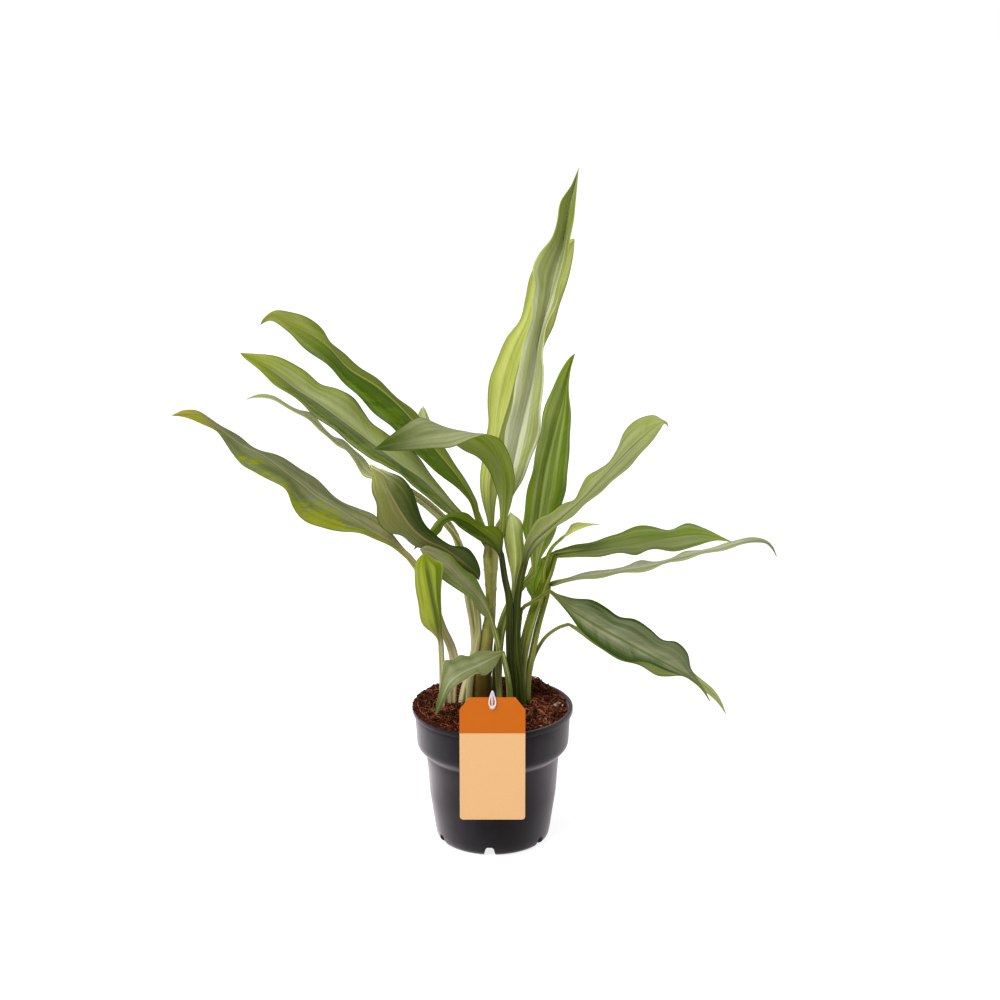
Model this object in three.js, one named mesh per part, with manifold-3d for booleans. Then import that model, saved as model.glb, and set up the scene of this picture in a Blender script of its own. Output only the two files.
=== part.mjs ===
// A potted white lance chinese evergreen: a round nursery pot, its filling of soil, one cane with
// lance-shaped leaves on long stalks, and a blank swing tag tied to a stalk in front of the pot.
// Millimetres, +Z up. The origin is the middle of the pot's foot, and the front of the pot faces -Y.
import * as THREE from "three";
import { mergeVertices } from "three/addons/utils/BufferGeometryUtils.js";
import Module from "manifold-3d";

// Driving sizes of the pot
const RIM_RADIUS = 60;
const POT_HEIGHT = 105;
const LIP_HEIGHT = 4;
const WALL = 2.6;
const COLLAR_RADIUS = 57.6;
const COLLAR_FOOT = 80;
const SHOULDER_FOOT = 70;
const TAPER_HEIGHT = 38;
const BODY_RADIUS = 50;
const FOOT_RADIUS = 36.5;
const FLOOR = 4;
const BASE_PAD_RADIUS = 12;
const BASE_RECESS = 1.4;
const POT_SIDES = 36;
const SLOT_COUNT = 6;
const SLOT_TURN = -3;
const SLOT_HEIGHT = 8;
const SLOT_TOP_WIDTH = 6;
const SLOT_BOTTOM_WIDTH = 10;
const SLOT_CORNER = 1.2;
const SLOT_DEPTH = 12;

// Soil, cane and stalks
const GAP = 0.3;
const SOIL_EDGE_HEIGHT = 103;
const SOIL_INSET = 4;
const SOIL_WALL_SLOPE = 0.05;
const SOIL_MOUND = 5;
const SOIL_BACK_HEAP = 3;
const SOIL_ROUGHNESS = 1.1;
const SOIL_SIDES = 30;
const SOIL_RINGS = 7;
const STALK_FOOT_HEIGHT = 86;
const HOLE_CLEARANCE = 0.35;

// Leaves
const EDGE_THICKNESS = 0.7;
const HALF_THICKNESS = 0.9;
const RIB_THICKNESS = 1.5;
const HALF_CROWN = 0.07;
const TIP_WIDTH = 1.2;
const NECK_FADE = 8;
const NECK_RIB_SHARE = 0.9;
const NECK_HALF_SHARE = 0.7;

// Swing tag and its tie
const TAG_WIDTH = 48;
const TAG_TOP = 135.4;
const TAG_BOTTOM = 39;
const TAG_THICKNESS = 0.8;
const TAG_CHAMFER_WIDTH = 7.2;
const TAG_CHAMFER_HEIGHT = 9.6;
const TAG_CORNER = 2.5;
const TAG_HOLE_RADIUS = 2.2;
const TAG_HOLE_DROP = 7.4;
const TIE_RADIUS = 0.65;
const TIE_LOOP_HEIGHT = 13;
const TIE_LOOP_WIDTH = 4.6;
const TIE_KNOT_DROP = 0.4;
const FILAMENT_RADIUS = 0.58;
const FILAMENT_DIVE = { right: 2, back: 12.5, down: 18.5 };
const FILAMENT_END = [13.2, 107, -16];
const STUD_RADIUS = 0.95;
const STUD_LENGTH = 3.6;
const HEAD_RADIUS = 2.7;
const HEAD_LENGTH = 0.8;

// Where the eye of someone in front of the plant stands. A leaf's points say how far right and how
// far up they look from there, on the upright plane through the pot's axis, and how far back they lie.
const EYE = { right: 5.5, back: -2092, up: 946 };

const wasm = await Module();
wasm.setup();
const group = new THREE.Group();

function seen([right, up, back]) {
  const reach = 1 - back / EYE.back;
  return new THREE.Vector3(
    EYE.right + (right - EYE.right) * reach,
    back,
    EYE.up + (up - EYE.up) * reach,
  );
}

// A stalk's point: two numbers are its foot's place in the pot, three are a place as it looks.
const stalkPoint = (p) =>
  p.length === 2 ? new THREE.Vector3(p[0], p[1], STALK_FOOT_HEIGHT) : seen(p);

function toSolid(geometry) {
  const bare = geometry.clone();
  bare.deleteAttribute("normal");
  bare.deleteAttribute("uv");
  const merged = mergeVertices(bare, 1e-4);
  return new wasm.Manifold(
    new wasm.Mesh({
      numProp: 3,
      vertProperties: merged.attributes.position.array,
      triVerts: new Uint32Array(merged.index.array),
    }),
  );
}

function toGeometry(solid) {
  const mesh = solid.getMesh();
  const places = new Float32Array(mesh.numVert * 3);
  for (let i = 0; i < mesh.numVert; i++)
    places.set(mesh.vertProperties.subarray(i * mesh.numProp, i * mesh.numProp + 3), i * 3);
  const geometry = new THREE.BufferGeometry();
  geometry.setAttribute("position", new THREE.BufferAttribute(places, 3));
  geometry.setIndex(new THREE.BufferAttribute(mesh.triVerts, 1));
  geometry.computeVertexNormals();
  return geometry;
}

const largestPiece = (solid) =>
  solid.decompose().reduce((best, piece) => (piece.volume() > best.volume() ? piece : best));

function addPiece(name, solid, colour, roughness) {
  const material = new THREE.MeshStandardMaterial({
    color: colour,
    roughness,
    metalness: 0,
    side: THREE.DoubleSide,
  });
  const mesh = new THREE.Mesh(toGeometry(solid), material);
  mesh.name = name;
  group.add(mesh);
}

// A closed skin over rings of points, all with the same count, and a flat cap at each end.
function skinOver(rings) {
  const size = rings[0].length;
  const places = rings.flat().flatMap((p) => [p.x, p.y, p.z]);
  const faces = [];
  for (let i = 0; i + 1 < rings.length; i++)
    for (let j = 0; j < size; j++) {
      const a = i * size + j;
      const b = i * size + ((j + 1) % size);
      faces.push(a, b, b + size, a, b + size, a + size);
    }
  const last = (rings.length - 1) * size;
  const half = size / 2;
  for (let j = 0; j + 1 < half; j++) {
    const k = size - 1 - j;
    faces.push(j, k, k - 1, j, k - 1, j + 1);
    faces.push(last + j, last + k - 1, last + k, last + j, last + j + 1, last + k - 1);
  }
  const geometry = new THREE.BufferGeometry();
  geometry.setAttribute("position", new THREE.BufferAttribute(new Float32Array(places), 3));
  geometry.setIndex(faces);
  return geometry;
}

const flatCurve = (points) =>
  new THREE.CatmullRomCurve3(
    points.map(([right, up]) => new THREE.Vector3(right, up, 0)),
    false,
    "centripetal",
  );

const levelCurve = (levels) => new THREE.SplineCurve(levels.map((v, i) => new THREE.Vector2(i, v)));

// The ring round a leaf or stalk: three or five places across, each with its half thickness.
function ringOf(across, side, along, grow) {
  const lift = (i) => {
    const from = across[Math.max(i - 1, 0)].place;
    const to = across[Math.min(i + 1, across.length - 1)].place;
    const width = to.clone().sub(from);
    if (width.length() < 1e-3) width.copy(side);
    return along.clone().cross(width).normalize();
  };
  const top = [];
  const under = [];
  across.forEach(({ place, half }, i) => {
    const spread = i === 0 ? -grow : i === across.length - 1 ? grow : 0;
    const base = place.clone().addScaledVector(side, spread);
    const up = lift(i).multiplyScalar(half + grow);
    top.push(base.clone().add(up));
    under.push(base.clone().sub(up));
  });
  return [...under, ...top.reverse()];
}

// A stalk's ring is an ellipse. Its side turns from the leaf's own side as little as it can.
const STALK_SPREAD = [-1, -0.62, 0, 0.62, 1];
function stalkRings(points, footRadius, neckRadius, steps, neckSide, grow) {
  const curve = new THREE.CatmullRomCurve3(points, false, "centripetal");
  const rings = [];
  const side = neckSide.clone();
  for (let i = steps; i >= 0; i--) {
    const u = i / steps;
    const centre = curve.getPointAt(u);
    const along = curve.getTangentAt(u);
    side.addScaledVector(along, -side.dot(along)).normalize();
    const radius = footRadius + (neckRadius - footRadius) * u;
    const across = STALK_SPREAD.map((s) => ({
      place: centre.clone().addScaledVector(side, s * radius),
      half: Math.max(radius * Math.sqrt(1 - s * s), EDGE_THICKNESS / 2),
    }));
    rings.unshift(ringOf(across, side, along, grow));
  }
  return rings;
}

// One leaf: a stalk from its foot to its neck, then the blade between its left and right edges, as
// someone sees them who looks at its upper face with the tip ahead.
function leafSolid(leaf, grow) {
  const left = flatCurve(leaf.left);
  const rib = flatCurve(leaf.rib);
  const right = flatCurve(leaf.right);
  const depth = Object.fromEntries(
    Object.entries(leaf.back).map(([part, levels]) => [part, levelCurve(levels)]),
  );
  const at = (curve, part, u) => {
    const flat = curve.getPointAt(u);
    return seen([flat.x, flat.y, depth[part].getPoint(u).y]);
  };
  const blade = [];
  for (let i = 0; i <= leaf.steps; i++) {
    const u = i / leaf.steps;
    blade.push({ u, left: at(left, "left", u), rib: at(rib, "rib", u), right: at(right, "right", u) });
  }
  const side = blade[0].left.clone().sub(blade[0].right).normalize();
  const rings = [];
  const neckSide = side.clone();
  blade.forEach((station, i) => {
    const before = blade[Math.max(i - 1, 0)].rib;
    const after = blade[Math.min(i + 1, leaf.steps)].rib;
    const along = after.clone().sub(before).normalize();
    const across = station.left.clone().sub(station.right);
    if (across.length() > TIP_WIDTH) side.copy(across);
    side.addScaledVector(along, -side.dot(along)).normalize();
    for (const [edge, sign] of [["left", 1], ["right", -1]]) {
      const out = station[edge].clone().sub(station.rib);
      const reach = out.dot(side) * sign;
      if (reach < TIP_WIDTH / 2)
        station[edge].addScaledVector(side, sign * (TIP_WIDTH / 2 - reach));
    }
    const middle = (edge) => {
      const half = station[edge].clone().sub(station.rib);
      const up = along.clone().cross(half).normalize();
      if (edge === "right") up.negate();
      const place = station.rib.clone().addScaledVector(half, 0.5);
      return place.addScaledVector(up, HALF_CROWN * half.length());
    };
    const neck = (1 - station.u) ** NECK_FADE;
    const ribHalf = RIB_THICKNESS / 2 + (leaf.neck * NECK_RIB_SHARE - RIB_THICKNESS / 2) * neck;
    const half =
      HALF_THICKNESS / 2 + (leaf.neck * NECK_HALF_SHARE - HALF_THICKNESS / 2) * neck ** 2;
    rings.push(
      ringOf(
        [
          { place: station.right, half: EDGE_THICKNESS / 2 },
          { place: middle("right"), half },
          { place: station.rib, half: ribHalf },
          { place: middle("left"), half },
          { place: station.left, half: EDGE_THICKNESS / 2 },
        ],
        side,
        along,
        grow,
      ),
    );
  });
  const neckPoint = blade[0].rib.clone().lerp(blade[1].rib, -0.25);
  const points = [...leaf.stalk.map(stalkPoint), neckPoint];
  const stalk = stalkRings(points, leaf.foot, leaf.neck, leaf.stalkSteps, neckSide, grow);
  return toSolid(skinOver([...stalk, ...rings]));
}

// Every leaf from its foot up. left, rib and right are looks of the two edges and the midrib from
// the blade's base to its tip, and back says how far behind the pot's axis each of them runs.
const LEAVES = [
  {
    name: "leaf_tall_front",
    colour: 0x8c9a62,
    stalk: [[1, 236, 3], [4.5, 246, 2]],
    foot: 2.6,
    neck: 2.2,
    stalkSteps: 4,
    steps: 22,
    left: [[7, 256], [6.5, 285], [7.9, 313], [11, 328], [15.8, 348], [18.9, 370], [24.9, 393],
      [28.3, 412], [29.8, 428], [28.5, 440], [34.3, 451.5], [41, 461], [46, 474.6], [48.5, 489],
      [55.6, 500], [61, 512.7]],
    rib: [[9, 256], [12, 273], [15, 292], [21, 322], [25, 340], [29, 357], [33.5, 387],
      [37.3, 404], [45.6, 440], [50, 456], [55.3, 488], [61, 512.7]],
    right: [[11, 255], [16.5, 267], [24.5, 278], [30, 297], [35.5, 318], [35.4, 345], [38, 364],
      [35.6, 378], [41.2, 402], [48, 422.6], [52.6, 444], [55.5, 460], [58.8, 485], [61, 512.7]],
    back: { left: [1, 1, 0, -2, -6, -8], rib: [2, 8, 11, 9, 2, -7], right: [2, 0, -2, -3, -6, -8] },
  },
  {
    name: "leaf_tall_back",
    colour: 0x9fae4c,
    stalk: [[-1, 236, 5], [-1, 241, 8]],
    foot: 2.6,
    neck: 2.4,
    stalkSteps: 3,
    steps: 22,
    left: [[3, 247], [4.7, 264], [8, 290], [16, 320], [26, 350], [33, 368], [38, 383], [45, 402],
      [51.7, 424], [55.8, 439], [58, 452], [58.5, 461.5]],
    rib: [[-1, 247], [-2.5, 275], [1, 300], [6, 320], [13, 345], [19, 370], [27, 395], [35, 415],
      [43, 440], [52, 455], [58.5, 461.5]],
    right: [[-5, 248], [-10.6, 269.5], [-8.6, 297], [-3, 322], [-4.1, 337], [-2.9, 349],
      [0.3, 366], [10.3, 388], [19.6, 403], [23.8, 417], [27, 435], [36, 451], [48, 460],
      [58.5, 461.5]],
    back: {
      left: [11, 30, 38, 46, 48, 45],
      rib: [10, 22, 30, 37, 42, 44],
      right: [11, 32, 42, 49, 49, 45],
    },
  },
  {
    name: "leaf_arched_front",
    colour: 0x7c8f3c,
    stalk: [[4, 229, -2], [6, 238, -5]],
    foot: 2.4,
    neck: 2.2,
    stalkSteps: 3,
    steps: 22,
    left: [[9.5, 246], [14.5, 262], [16.8, 278], [15.3, 292], [10, 306], [4, 314], [-4, 316.4],
      [-13, 313.3], [-23, 309.3], [-31, 306.5], [-43, 305.5], [-61, 304.5], [-75, 303.8],
      [-86, 305.2]],
    rib: [[7, 245], [9, 262], [9.5, 280], [5, 298], [-4, 313], [-16, 317.8], [-30, 318],
      [-45, 316], [-65, 311], [-86, 305.2]],
    right: [[4.6, 246], [4, 262], [1.8, 275], [-3, 288], [-11.4, 299.7], [-22, 304.5],
      [-30, 311], [-38, 321], [-52.6, 329.2], [-66.8, 321], [-77, 313], [-86, 305.2]],
    back: {
      left: [-6, -10, -22, -44, -60, -68, -72],
      rib: [-7, -15, -22, -35, -50, -62, -72],
      right: [-6, -7, -6, -14, -30, -52, -71],
    },
  },
  {
    name: "leaf_left_top",
    colour: 0x4f6a1c,
    stalk: [[-2, 233, 1], [-6, 241, 2]],
    foot: 2.4,
    neck: 2.2,
    stalkSteps: 3,
    steps: 22,
    left: [[-12.5, 251], [-16.3, 263.5], [-24, 271.7], [-37, 283], [-54, 299], [-70.5, 318.5],
      [-88.8, 336], [-105.5, 354], [-122, 371], [-137, 382.5], [-147, 393.5], [-159, 401.5],
      [-166.5, 398.5]],
    rib: [[-10.5, 251], [-15, 266], [-24, 282], [-40, 303], [-64, 334], [-83, 352], [-104, 366],
      [-117, 381], [-128, 390], [-143.5, 398], [-158, 404], [-166.5, 398.5]],
    right: [[-8.5, 252], [-9, 264], [-13.2, 272], [-19.7, 283.4], [-28, 296], [-34, 305],
      [-45, 318], [-54, 330.5], [-62.3, 338.5], [-74, 350], [-90, 363], [-103, 374],
      [-115.3, 384], [-121.8, 395.6], [-133, 404], [-145, 408], [-156, 409], [-164.7, 402.5],
      [-166.5, 398.5]],
    back: {
      left: [4, 3, 10, 24, 42, 66],
      rib: [4, 13, 24, 38, 52, 66],
      right: [5, 19, 34, 49, 60, 66],
    },
  },
  {
    name: "leaf_left_upper",
    colour: 0x7d8c58,
    stalk: [[-2, 227, 5], [-8, 237, 5]],
    foot: 2.2,
    neck: 2,
    stalkSteps: 3,
    steps: 22,
    left: [[-17, 244], [-28, 250], [-38, 256.6], [-49.5, 269], [-60.5, 278], [-68.7, 287],
      [-79.6, 293.6], [-89, 297], [-104, 310.5], [-120, 323], [-137.7, 339], [-148.5, 348],
      [-158.6, 355], [-169.4, 366], [-178.8, 374], [-181.5, 377.6]],
    rib: [[-15.5, 246], [-27, 257], [-42, 273], [-52, 283], [-65, 292], [-79, 303],
      [-104, 323], [-129, 342], [-142, 350.5], [-160, 365], [-181.5, 377.6]],
    right: [[-13, 249], [-18.7, 256.5], [-26.5, 264], [-33.5, 272], [-46, 289], [-57, 303],
      [-74.4, 315.4], [-86.6, 324], [-93, 334], [-100.5, 344], [-112.7, 351], [-124.6, 355],
      [-136, 364.7], [-153.5, 374.6], [-171, 377], [-181.5, 377.6]],
    back: {
      left: [5, 4, 5, 12, 26, 46],
      rib: [6, 13, 19, 27, 37, 47],
      right: [7, 22, 29, 37, 45, 47],
    },
  },
  {
    name: "leaf_back_top",
    colour: 0xa3b272,
    stalk: [[-3, 235, 7], [-7, 246, 15]],
    foot: 2,
    neck: 1.7,
    stalkSteps: 3,
    steps: 14,
    left: [[-11, 259], [-18, 276], [-29, 292], [-38, 308], [-44.5, 325], [-48, 334], [-50, 337.5]],
    rib: [[-12, 259], [-21, 277], [-33, 294], [-42, 310], [-47, 324], [-50, 337.5]],
    right: [[-13.5, 260], [-25, 278], [-38, 296], [-47, 312], [-54, 329], [-52, 335.5], [-50, 337.5]],
    back: { left: [25, 44, 58, 63, 56], rib: [24, 36, 46, 53, 55], right: [25, 46, 60, 65, 56] },
  },
  {
    name: "leaf_left_short",
    colour: 0x4c6a16,
    stalk: [[17, -6], [15.5, 118, -8], [13.5, 138, -9], [12.6, 160, -9], [12.8, 176, -9],
      [11.8, 192, -11], [9, 206, -14]],
    foot: 2.7,
    neck: 2.1,
    stalkSteps: 9,
    steps: 16,
    left: [[4.5, 224], [-1, 228.5], [-8, 233], [-16, 239], [-24, 245], [-30, 250], [-35, 248],
      [-38, 242], [-44, 236], [-51, 232], [-58.5, 227.5]],
    rib: [[6, 225], [0, 235], [-9, 243], [-19, 250], [-29, 253.5], [-37, 251], [-42, 245],
      [-48, 238], [-58.5, 227.5]],
    right: [[9, 227], [11, 234], [9, 242], [3, 246], [-5, 246.5], [-12, 250], [-19, 256],
      [-27, 257.3], [-34, 255], [-41, 250], [-46, 243], [-53, 237], [-58.5, 227.5]],
    back: { left: [-15, -22, -21, -10, -10], rib: [-15, -19, -16, -9, -10], right: [-15, -15, -8, -5, -10] },
  },
  {
    name: "leaf_left_thin",
    colour: 0x98a27c,
    stalk: [[-22, 0], [-21, 112, 1], [-16.5, 130, 3], [-12.5, 150, 5], [-13.5, 168, 6],
      [-17.5, 190, 8], [-22.5, 221, 14], [-29, 243, 20], [-45, 262, 26], [-66, 277, 27]],
    foot: 3,
    neck: 1.6,
    stalkSteps: 11,
    steps: 16,
    left: [[-83, 280], [-93.4, 281], [-99.9, 295.6], [-105.5, 303], [-113.4, 307], [-121, 316.5],
      [-131, 325], [-140.5, 331], [-150, 338], [-160, 342.6], [-172, 344], [-178, 342.8]],
    rib: [[-83, 282], [-92, 289], [-100, 299.5], [-110, 308.5], [-120, 317], [-131, 328],
      [-145, 335], [-158, 343.5], [-170, 345.5], [-178, 342.8]],
    right: [[-83, 284], [-90, 296], [-101.8, 307], [-108.7, 312], [-117, 314], [-121.5, 319],
      [-130, 331.5], [-140.4, 334], [-149.8, 340], [-157.6, 345], [-168.7, 346.5], [-178, 342.8]],
    back: { left: [26, 22, 28, 42, 66], rib: [27, 34, 44, 56, 67], right: [28, 47, 60, 68, 68] },
  },
  {
    name: "leaf_left_front",
    colour: 0x6c7a48,
    stalk: [[-18, -6.5], [-17.5, 114, -6], [-15.5, 136, -5.5], [-12.5, 150, -4],
      [-10.6, 166, 0], [-13, 188, 4], [-18, 212, 10], [-27, 238, 15], [-42, 256, 17],
      [-64, 274, 17], [-82, 287.5, 12]],
    foot: 2.1,
    neck: 1.7,
    stalkSteps: 12,
    steps: 20,
    left: [[-86, 292.5], [-79.6, 293.6], [-74.5, 291], [-65.4, 286.5], [-59.8, 278],
      [-54.2, 260.7], [-49.9, 249], [-42.8, 240], [-30.5, 231.6], [-18.5, 229.3], [-11.6, 220],
      [-8.8, 210], [-10, 204]],
    rib: [[-88, 291], [-81, 284], [-74.7, 271], [-67, 256.6], [-58, 243.5], [-48, 235],
      [-34, 228], [-20, 217], [-11.5, 209], [-10, 204]],
    right: [[-90, 289.5], [-93, 282], [-91.2, 272], [-86.5, 263.5], [-84.4, 249.7],
      [-76.6, 241.4], [-67.4, 238.6], [-58.3, 231], [-48, 227.5], [-36, 220], [-24, 212],
      [-15, 207.5], [-10, 204]],
    back: {
      left: [-2, -7, -13, -16, -15, -14],
      rib: [0, -15, -21, -21, -18, -14],
      right: [0, -12, -17, -17, -16, -14],
    },
  },
  {
    name: "leaf_left_long",
    colour: 0x7d8a4a,
    stalk: [[-31, 1], [-30.5, 116, 0], [-28.5, 140, -1], [-31, 152, -1], [-37, 166, -2],
      [-44, 188, -3], [-51, 206, -4], [-58.5, 218, -4]],
    foot: 3.1,
    neck: 2.4,
    stalkSteps: 9,
    steps: 22,
    left: [[-64.8, 222], [-75, 229.5], [-87, 235], [-99, 240], [-112, 241.4], [-123.5, 243.6],
      [-136.4, 249], [-146, 261], [-152, 274.5], [-158.4, 280], [-173, 287], [-182, 292.5],
      [-189, 302.6], [-195.7, 312], [-201, 319], [-212, 325], [-223, 329.4], [-232.5, 330.7]],
    rib: [[-63.5, 224], [-75, 234.4], [-95.4, 247], [-111.5, 258.5], [-129.6, 270],
      [-139, 278], [-151.5, 288], [-167, 300.5], [-183, 308.5], [-198, 320.5], [-212, 329.5],
      [-232.5, 330.7]],
    right: [[-62, 226.5], [-70, 240], [-78, 250], [-86, 256.8], [-98.4, 260], [-107, 263.5],
      [-121, 275], [-133.5, 286], [-146, 295], [-158, 300.5], [-171.5, 306], [-184, 314.7],
      [-196.6, 323], [-205, 329], [-214, 334.4], [-224, 334.6], [-232.5, 330.7]],
    back: {
      left: [-5, -19, -26, -26, -26, -25],
      rib: [-4, -7, -9, -12, -17, -24],
      right: [-3, 3, 4, -1, -10, -24],
    },
  },
  {
    name: "leaf_left_low",
    colour: 0x8d8b6c,
    stalk: [[5, -12], [5, 116, -12], [4, 135, -11], [4.6, 150, -10], [2, 163, -9]],
    foot: 2,
    neck: 1.8,
    stalkSteps: 7,
    steps: 16,
    left: [[-1.5, 170], [-9, 176], [-16, 189], [-20.4, 192.5], [-27.7, 198], [-37.5, 205],
      [-45, 214], [-50, 222], [-53.5, 228]],
    rib: [[-0.7, 171.5], [-4.5, 181], [-11.3, 192], [-22.7, 205], [-33, 217], [-43.7, 226],
      [-53.5, 228]],
    right: [[0.8, 172], [-2.4, 184], [-4, 189], [-8, 197.6], [-13, 207], [-19.4, 211.4],
      [-26, 218], [-30.7, 223.5], [-37, 227], [-43.6, 229.8], [-49, 231], [-53.5, 228]],
    back: {
      left: [-10, -19, -27, -31, -29],
      rib: [-10, -15, -22, -27, -29],
      right: [-10, -14, -22, -26, -29],
    },
  },
  {
    name: "leaf_left_young",
    colour: 0x94a53a,
    stalk: [[-38, -5], [-37.5, 116, -6], [-37.8, 136, -7]],
    foot: 2.4,
    neck: 2.1,
    stalkSteps: 6,
    steps: 14,
    left: [[-40, 156], [-46.4, 162], [-53, 170], [-55.4, 189], [-57.6, 208], [-57, 217],
      [-53, 223], [-50, 225.5]],
    rib: [[-38.5, 155], [-41.5, 175], [-45.5, 195], [-48.5, 212], [-50, 225.5]],
    right: [[-37, 155], [-37.2, 171], [-38, 193], [-37, 207], [-36.8, 217], [-43, 220.5],
      [-50, 225.5]],
    back: { left: [-9, -18, -24, -26, -33], rib: [-9, -26, -34, -38, -35], right: [-9, -27, -37, -40, -36] },
  },
  {
    name: "leaf_front_low",
    colour: 0x7c8a62,
    stalk: [[14, -15], [13, 114, -15], [11.8, 126, -15], [9.5, 138, -15]],
    foot: 2.4,
    neck: 1.8,
    stalkSteps: 6,
    steps: 18,
    left: [[6.5, 144.5], [4.4, 137], [-2.6, 130], [-7, 128.4], [-10.5, 130.7], [-21, 125],
      [-29.7, 118], [-35.8, 108], [-40, 100], [-42.8, 96.7]],
    rib: [[7, 147], [-2, 141.5], [-13, 135.5], [-24, 130], [-32, 123], [-37.5, 111],
      [-42.8, 96.7]],
    right: [[5.5, 149.5], [-4.8, 150.8], [-14, 148], [-18.3, 144.7], [-24.4, 145], [-30.6, 141],
      [-35.8, 140.5], [-38.2, 129], [-39.8, 115], [-42, 106], [-42.8, 96.7]],
    back: {
      left: [-16, -31, -41, -45, -44],
      rib: [-15, -27, -37, -43, -44],
      right: [-15, -19, -27, -37, -44],
    },
  },
  {
    name: "leaf_right_upper",
    colour: 0x8a9256,
    stalk: [[22.5, -3], [20.5, 122, -4], [18, 145, -5], [17.6, 168, -6], [18.2, 188, -8],
      [20.6, 204, -11]],
    foot: 3,
    neck: 2.3,
    stalkSteps: 9,
    steps: 22,
    left: [[22.5, 219], [21, 232], [26, 244], [32.4, 252.5], [42, 256], [51.8, 264],
      [59.4, 267], [64.8, 275], [69.6, 285], [76.3, 290], [86, 296.4], [90.8, 304],
      [94.9, 318], [104, 327], [116.8, 331], [123.2, 327.6], [126.5, 325.8], [127.7, 321.7]],
    rib: [[24, 218], [26, 226], [31.8, 235], [42, 244], [56.9, 258], [69, 270], [81, 284],
      [93.3, 298], [104.9, 310], [118, 322], [125.6, 325.4], [127.7, 321.7]],
    right: [[25.5, 217], [34, 229], [46.5, 245], [59.4, 254.4], [71.6, 266], [83.8, 277],
      [96, 288], [105.6, 299], [115.2, 310], [121.8, 320], [125, 324.6], [127.7, 321.7]],
    back: {
      left: [-14, -22, -28, -36, -46, -62],
      rib: [-14, -26, -37, -47, -56, -62],
      right: [-14, -30, -43, -54, -62, -62],
    },
  },
  {
    name: "leaf_right_spear",
    colour: 0x66831f,
    stalk: [[2, 9], [3.2, 128, 9], [4.2, 150, 9], [6.5, 166, 9], [11, 181, 8], [17, 193, 6],
      [24.5, 203, 2]],
    foot: 3,
    neck: 2.4,
    stalkSteps: 9,
    steps: 20,
    left: [[28.5, 214], [20.7, 244], [22, 253], [24.3, 267], [28.9, 290], [33.9, 313],
      [36.2, 330], [42.9, 350], [49.2, 364], [55.6, 374], [59.2, 377]],
    rib: [[31, 213], [31.5, 233], [34, 258], [38, 289], [43, 312], [47, 328], [51, 343],
      [54.5, 360], [59.2, 377]],
    right: [[34.5, 213], [46.5, 234], [51, 262], [54, 275], [55.5, 299], [56.9, 325],
      [55.3, 355], [57.6, 372], [59.2, 377]],
    back: { left: [-1, -8, -14, -18, -17], rib: [-1, -3, -7, -13, -16], right: [-1, -7, -13, -17, -17] },
  },
  {
    name: "leaf_right_level",
    colour: 0x5e7a26,
    stalk: [[20.5, 6], [22, 141, 3], [24.7, 157, 1], [28.2, 172, 0], [31.8, 184, 0],
      [36.8, 198, 1], [41.5, 210, 2]],
    foot: 2.8,
    neck: 3,
    stalkSteps: 9,
    steps: 20,
    left: [[46.5, 229], [53, 231.9], [60, 233.7], [76, 235], [90, 240], [104, 245.7],
      [118, 245.5], [131, 244], [143, 247.8], [155, 245], [168, 238], [175.8, 233.9]],
    rib: [[47, 224.5], [52, 225], [68, 226.5], [88, 229.5], [108, 233], [128, 236.5],
      [148, 239.5], [163, 238], [175.8, 233.9]],
    right: [[48, 220.8], [58, 221], [78, 222.4], [95, 224.6], [106, 224.6], [114, 227.3],
      [132.5, 227], [148.5, 230], [163.4, 235], [175.8, 233.9]],
    back: { left: [5, 30, 46, 57, 56], rib: [4, 16, 31, 45, 55], right: [3, 4, 16, 31, 54] },
  },
  {
    name: "leaf_right_thin",
    colour: 0x7c8464,
    stalk: [[27, 4], [25.5, 122, 5], [28, 138, 5], [30.4, 152, 5], [33.4, 167, 5],
      [37, 181, 5], [40, 192, 5]],
    foot: 2.2,
    neck: 2,
    stalkSteps: 9,
    steps: 22,
    left: [[44, 205], [54, 206], [65, 210.6], [81, 212], [96, 214.7], [109, 218.8],
      [120, 218.7], [132.5, 221], [141.6, 225.6], [158.7, 228.5], [176.8, 234], [189, 237.8],
      [201, 235], [206, 230], [209, 222.5]],
    rib: [[43.5, 201], [54, 204], [78, 208.5], [98, 212], [120, 216], [140, 222],
      [160, 227], [180, 232.8], [195, 235.5], [204.5, 231], [209, 222.5]],
    right: [[43.5, 197.5], [51, 201.8], [59, 203.4], [78, 205.6], [98.4, 209.4],
      [118.5, 212.8], [129.6, 217], [148.7, 222.7], [162.8, 225.4], [182.8, 231.8],
      [200, 232.9], [204.5, 229.5], [209, 222.5]],
    back: { left: [6, 13, 10, 0, -22], rib: [5, 0, -6, -14, -23], right: [4, -13, -21, -27, -24] },
  },
  {
    name: "leaf_right_low",
    colour: 0x47622c,
    stalk: [[17.5, 9], [18.6, 150, 2], [20.2, 172, -1], [22, 182, -5], [28.5, 186.5, -7],
      [35.5, 191, -8]],
    foot: 1.5,
    neck: 1.5,
    stalkSteps: 10,
    steps: 20,
    left: [[43.5, 196], [51, 196], [62, 192.8], [74, 190.7], [84.4, 183.7], [94.6, 175.6],
      [105.8, 173], [117, 166], [127, 157], [136.6, 155], [144.9, 147], [148.2, 134],
      [152.5, 126], [158.5, 117], [162.5, 108]],
    rib: [[43.5, 194.7], [58.3, 181], [78.6, 167.5], [99, 155.6], [119.4, 143.6],
      [139.8, 131.8], [150, 124.5], [157, 116.5], [162.5, 108]],
    right: [[42.5, 193], [47, 188], [56.4, 175.6], [64.7, 164], [77, 153.4], [89.6, 144.7],
      [100, 139.5], [113, 139.2], [128.4, 132.7], [147, 125.6], [156.4, 116.8],
      [162.5, 108]],
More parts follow.
